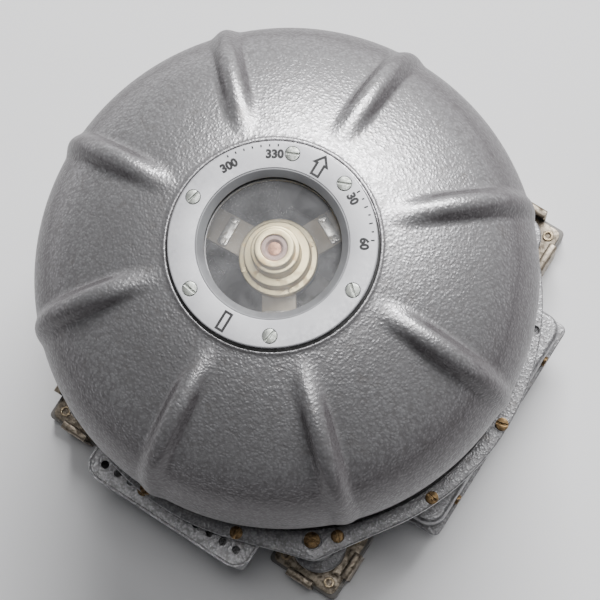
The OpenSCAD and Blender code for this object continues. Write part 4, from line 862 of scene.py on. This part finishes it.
class GYRO_OT_side_box(bpy.types.Operator):
    """Build the side box, the perforated rear panel and their screws"""

    bl_idname = "gyro.side_box"
    bl_label = "Side box and rear panel"

    def execute(self, context):
        low, high, right, top, edge = -63, 73, 128, 50, 2.6
        outside = outer_corners(rectangle(60, low, right, high))
        arc = drum_arc(*(math.degrees(math.asin(y / BOX_FIT_R)) for y in (high, low)))
        # Down inside, round the foot, up the wall and over the upper half of an eased wall
        layers = [(2.5, top - 2.5), (2.5, 30), (0.4, 30), (0, 30.4), (0, top - edge)]
        layers += list(eased(30, top, edge, 5)[6:])
        piece("side_cover", slab(np.vstack([outside, arc]), layers), "base_hammertone", ["side_box"],
              crease=30)
        heads = [moved(slotted_head(2.8, 1.8, 0.8, 1.0, 0.3), (right, y, 36), basis=TO_RIGHT)
                 for y in (-41, 5, 51)]
        piece("side_cover_screws", heads, "brass_old", ["side_box_screws"])
        left, right, rear = -52, 53, -140
        outside = outer_corners([(left, -90), (left, rear), (right, rear), (right, -90)])
        arc = drum_arc(*(-math.degrees(math.acos(x / BOX_FIT_R)) for x in (right, left)))
        # A pressed rim: up the edge, over a bead and down to the flat
        layers = [(0.5, 69.6), (0, 70.1), (0, PANEL_TOP), (0.35, 72.0), (1.3, 72.0), (1.7, 71.65),
                  (2.2, PANEL_TOP)]
        places = [(0.5 + k * ROW_PITCH, ROW_Y) for k in range(-5, 6)]
        holes = copies(disc(28, 2.25, [(0, 68), (0, 71.4), (-0.25, 72.4)]), places)
        piece("rear_cover", slab(np.vstack([outside, arc]), layers), "base_hammertone", ["rear_panel"],
              cutters=holes)
        screw = moved(slotted_head(3.45, 2.2, 1.0, 1.2, 0.4), (*places[3], PANEL_TOP), 60)
        piece("rear_cover_screw", screw, "brass_old", ["rear_panel_screw"])
        return {"FINISHED"}


# Mounts

def bent_ear():
    """Sheet bent into a leg, a lip folded in and a hem: the outline of its edge, 16 mm wide."""
    edge = [(22, 0.5), (23.5, 0.5), (23.5, 30.5), (18.5, 30.5), (18.5, 27.5), (20, 27.5), (20, 29), (22, 29)]
    outline = rounded(edge, [0.2, 0.3, 1.8, 1.6, 0.3, 0.2, 0.4, 0.6])
    return moved(slab(outline, eased(-8, 8, 0.3, 2)), basis=[(1, 0, 0), (0, 0, 1), (0, -1, 0)])


class GYRO_OT_mounts(bpy.types.Operator):
    """Build the mounting frame and the four shock isolators"""

    bl_idname = "gyro.mounts"
    bl_label = "Mounting frame"

    def execute(self, context):
        rails = [moved(slab(box_outline(24, 164, 1, 3), eased(0, 5, 0.6)), (s * 77.0, 0, 0)) for s in (-1, 1)]
        hole = disc(32, 3.3, [(-0.5, -0.2), (0, 0.3), (0, 4.7), (-0.5, 5.2)])
        piece("frame_rails", rails, "frame_paint", body="mount", cutters=copies(hole, corners(77.0, 52.0)))
        bars = [moved(slab(box_outline(110, 24, 1, 3), eased(0, 5, 0.6)), (0, s * 104.0, 0)) for s in (-1, 1)]
        outline, square = box_outline(44, 44, 3, 9), box_outline(40.6, 40.6, 4, 9)
        pad = plate_with_bore(outline, round_bore(outline, 16.5), 0, 12, 0.7)
        piece("frame_casting", bars + copies(pad, ISOLATORS), "frame_paint", ["mounting_frame"], body="mount")
        plate = plate_with_bore(square, round_bore(square, 11.0), 12, 13.5, 0.25)
        collar = lathed(rectangle(11, 12.2, 13, 16.5), [0.1, 0.2, 0.8, 0.3], 3, 48)
        eyelet = lathed([(1.6, 1.2), (2.4, 1.2), (2.4, 13.5), (3.2, 13.5), (3.2, 14.5), (1.6, 14.5)],
                        [0.2, 0.3, 0.1, 0.35, 0.48, 0.45], 4, 24)
        rubber = lathed([(5.3, 9.8), (13, 9.8), (13, 12), (11, 12), (11, 16.5), (13, 16.5), (13, 22.7),
                         (11, 23.7), (5.3, 23.7)], [0.3, 0.8, 0.3, 0.3, 0.5, 0.4, 1.6, 0.9, 0.3], 4, 48)
        tubes = [lathed(rectangle(3.05, low, r, high), [0.15, 0.3, 0.3, 0.15], 3, 40)
                 for low, high, r in ((7.4, 8.9, 12), (8.9, 24, 5), (24, 25.5, 12))]
        ears = [moved(bent_ear(), (x, y, 0), turn) for x, y in ISOLATORS
                for turn in (0 if x > 0 else 180, math.copysign(90, y))]
        piece("corner_ears", ears, "cadmium", ["snubber_ears"], body="mount")
        plates, eyelets = joined([plate, collar]), joined(copies(eyelet, corners(14.5, 14.5)))
        piece("corner_plates", copies(plates, ISOLATORS), "cadmium", ["isolator_plates"], body="mount")
        piece("corner_eyelets", copies(eyelets, ISOLATORS), "cadmium_warm", ["isolator_rivets"], body="mount")
        piece("bushes_and_washers", copies(joined(tubes), ISOLATORS), "steel", ["isolator_bushings"])
        soft = raw_object("corner_rubbers", joined(copies(rubber, ISOLATORS)))
        soft.data.shade_smooth()
        soft.data.materials.append(finish("rubber_brown"))
        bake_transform(soft)
        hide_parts("isolator_rubbers")
        return {"FINISHED"}


# Receptacles

def threaded_shell(outer, bore, low, high, pitch, depth, count=72):
    """Tube with a thread: its outer radius is outer less depth times a triangle wave of height / pitch minus
    angle / turn, and the thread fades out at both ends."""
    z = np.linspace(low + 1.0, high - 0.8, int((high - low) * 6))[:, None]
    a = np.arange(count)[None] * (2 * np.pi / count)
    wave = np.abs(2 * ((z / pitch - a / (2 * np.pi)) % 1.0) - 1)
    fade = np.clip(np.minimum(z - low - 1.0, high - 0.8 - z) / pitch, 0, 1)
    radius = outer - depth * wave * fade
    thread = np.stack([radius * np.cos(a), radius * np.sin(a), z + 0 * a], 2)
    start = around_axis([(outer, low), (outer, low + 0.9)], count)
    mouth = around_axis([(outer - 0.4, high), (bore + 0.3, high), (bore, high - 0.3), (bore, low + 0.2),
                         (bore, low)], count)
    return loft(np.concatenate([start, thread, mouth]), closed=True)


class GYRO_OT_receptacles(bpy.types.Operator):
    """Build the two threaded receptacles, their inserts, pins and screws"""

    bl_idname = "gyro.receptacles"
    bl_label = "Receptacles"

    def execute(self, context):
        flange = box_outline(32, 32, 3, 9)
        key = slab(box_outline(1.6, 1.2, 0.3, 2), eased(4, 16, 0.2, 2))
        shell = joined([plate_with_bore(flange, round_bore(flange, 11.0), 0, 3, 0.5),
                        threaded_shell(13, 11, 2.8, 17, 1.0, 0.5),
                        moved(key, ring_at(10.7, 90)), moved(key, ring_at(10.7, 215), 125)])
        spots = [(0, 0, 0)] + [ring_at(6.82, 360 / 7 * k) for k in range(7)]
        collars = [disc(20, 1.7, eased(5.4, 6.1, 0.15, 2), p) for p in spots]
        insert = joined([disc(64, 10.95, eased(-16.5, 5.5, 0.4))] + collars)
        tip = turned([(0.05, 4), (1, 4), (1, 10.6), (0.8, 11.2), (0.35, 11.5), (0.05, 11.5)], 16, False)
        tail = turned(rectangle(0.05, -20, 1, -16), 12, False)
        pins = joined([moved(end, p) for p in spots for end in (tip, tail)])
        screws = joined([moved(slotted_head(2.8, 1.8, 0.8, 1.0, 0.4), (x, y, 3), 17 * x + 9 * y)
                         for x, y in corners(12, 12)])
        for name, shape, slot, node in (
                ("threaded_shells", shell, "connector_metal", "receptacle_shells"),
                ("contact_inserts", insert, "brown_plastic", "receptacle_inserts"),
                ("contact_pins", pins, "gold_contact", "receptacle_pins"),
                ("shell_screws", screws, "brass_old", "receptacle_screws")):
            pair = [moved(shape, (-116, s * 21, 54), basis=TO_LEFT) for s in (-1, 1)]
            piece(name, pair, slot, [node])
        return {"FINISHED"}


# Underside and loom

class GYRO_OT_underside(bpy.types.Operator):
    """Build the bottom cover with its screws, and the cable loom inside the drum"""

    bl_idname = "gyro.underside"
    bl_label = "Underside and loom"

    def execute(self, context):
        cover = lathed([(0.3, 19.5), (70, 19.5), (70, 22.5), (84, 22.5), (84, 24), (68.5, 24), (68.5, 21),
                        (0.3, 21)], [0.05, 2.2, 1.2, 0.6, 0.2, 0.5, 1.5, 0.05], 4, 128)
        rib = slab(box_outline(44, 3, 1.4), eased(19.52, 19.9, 0.1, 2))
        ribs = [moved(rib, ring_at(38, 60 * k), 60 * k) for k in range(6)]
        piece("lower_cover", [cover] + ribs, "base_hammertone", ["bottom_cover"])
        head = slotted_head(2.8, 1.8, 0.8, 1.0, 0.35)
        heads = [moved(head, ring_at(78, 60 * k + 30, 22.5), basis=DOWN) for k in range(6)]
        piece("lower_cover_screws", heads, "brass_old", ["bottom_cover_screws"])
        floor_z = 32
        run = [ring_at(99.3, a, floor_z) for a in np.linspace(192.2, 125, 36)]
        run += [(x, y, floor_z) for x, y in ((-44, 86), (-34, 89.3), (-24, 92.2))]
        parts = [rod(run, 2.9, (0, 0, 1))]
        for y in (-21, 21):
            bend = [(-95.7 + x, y, floor_z + 3 - z) for x, z in (polar(3, a) for a in range(90, -1, -15))]
            riser = [(-98, y, floor_z)] + bend + [(-92.7, y, z) for z in (40, 50, 59)]
            parts.append(rod(riser, 2.6, (0, 1, 0)))
        piece("laced_loom", parts, "loom_cloth", ["cable_loom"])
        return {"FINISHED"}


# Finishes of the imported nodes

class GYRO_OT_dress(bpy.types.Operator):
    """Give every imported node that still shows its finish"""

    bl_idname = "gyro.dress"
    bl_label = "Finish the packed nodes"

    def execute(self, context):
        for name, obj in frame["nodes"].items():
            obj.data.materials.clear()
            obj.data.materials.append(finish(SLOT_OF[name]))
        return {"FINISHED"}


# Stage

# Directions of the picture on the floor, and the point that the lights are aimed at
PICTURE_RIGHT, PICTURE_UP = (0.8407, 0.5416), (-0.5299, 0.8481)
HOOD_CENTRE = Vector((0.0, 0.0, 0.18))
# Name, distances across and ahead in the picture, height, width, length and share of the key's power
LIGHTS = [("key", 0.6, 1.7, 2.1, 2.0, 1.0, 1.0), ("overhead", 0.2, 0.2, 3.0, 1.0, 0.8, 0.18),
          ("right_box", 1.7, 0.9, 2.1, 0.5, 0.9, 0.05)]
WORLD_COLOUR, WORLD_STRENGTH = (0.9, 0.92, 1.0, 1), 0.05
CAMERA_AT = (0.15747, -0.10845, 1.04602)
CAMERA_BACK, CAMERA_SIDE = (0.1599, -0.1124, 0.9807), (0.8383, 0.5401, -0.0748)


class GYRO_OT_stage(bpy.types.Operator):
    """Lay the floor, hang the lights and place the camera"""

    bl_idname = "gyro.stage"
    bl_label = "Stage"

    def execute(self, context):
        settings, scene = context.scene.gyro_stage, context.scene
        floor = raw_object("floor", disc(64, 6000, [(0, -2.0), (0, -0.3)]))
        floor.data.materials.append(finish("floor_paper"))
        scene.world = bpy.data.worlds.new("studio")
        scene.world.use_nodes = True
        background = scene.world.node_tree.nodes["Background"]
        background.inputs["Color"].default_value = WORLD_COLOUR
        background.inputs["Strength"].default_value = WORLD_STRENGTH
        for name, across, ahead, height, width, length, share in LIGHTS:
            light = bpy.data.lights.new(name, "AREA")
            light.shape, light.size, light.size_y = "RECTANGLE", width, length
            light.energy = share * settings.key_power
            obj = bpy.data.objects.new(name, light)
            scene.collection.objects.link(obj)
            place = Vector([r * across + u * ahead for r, u in zip(PICTURE_RIGHT, PICTURE_UP)] + [height])
            aim = (HOOD_CENTRE - place).to_track_quat("-Z", "Y")
            obj.matrix_world = Matrix.Translation(place) @ aim.to_matrix().to_4x4()
        camera = bpy.data.cameras.new("camera")
        camera.lens, camera.sensor_width, camera.sensor_fit = settings.lens, 36.0, "HORIZONTAL"
        camera.clip_end = 50
        scene.camera = bpy.data.objects.new("camera", camera)
        scene.collection.objects.link(scene.camera)
        back = Vector(CAMERA_BACK).normalized()
        over = back.cross(Vector(CAMERA_SIDE).normalized()).normalized()
        turn = Matrix((over.cross(back), over, back)).transposed().to_4x4()
        scene.camera.matrix_world = Matrix.Translation(CAMERA_AT) @ turn
        return {"FINISHED"}


# Panel and registration

STEPS = [GYRO_OT_stage, GYRO_OT_hood, GYRO_OT_window, GYRO_OT_bearing, GYRO_OT_clamp, GYRO_OT_casting,
         GYRO_OT_side_box, GYRO_OT_mounts, GYRO_OT_receptacles, GYRO_OT_underside, GYRO_OT_dress]


class GYRO_PT_panel(bpy.types.Panel):
    """Lists the unit's pieces and settings"""

    bl_idname = "GYRO_PT_panel"
    bl_label = "Gyro Unit"
    bl_space_type = "VIEW_3D"
    bl_region_type = "UI"
    bl_category = "Gyro Unit"

    def draw(self, context):
        for group in GROUPS:
            settings = getattr(context.scene, group)
            for name in settings.__annotations__:
                self.layout.prop(settings, name)
        for step in STEPS:
            self.layout.operator(step.bl_idname)


GROUPS = {"gyro_hood": GyroHood, "gyro_colours": GyroColours, "gyro_stage": GyroStage}
CLASSES = [*GROUPS.values(), *STEPS, GYRO_PT_panel]


def register():
    for cls in CLASSES:
        bpy.utils.register_class(cls)
    for name, cls in GROUPS.items():
        setattr(bpy.types.Scene, name, PointerProperty(type=cls))


def unregister():
    for name in GROUPS:
        delattr(bpy.types.Scene, name)
    for cls in reversed(CLASSES):
        bpy.utils.unregister_class(cls)


def main():
    register()
    for step in STEPS:
        group, name = step.bl_idname.split(".")
        getattr(getattr(bpy.ops, group), name)()
    bpy.context.view_layer.update()


if __name__ == "__main__":
    main()
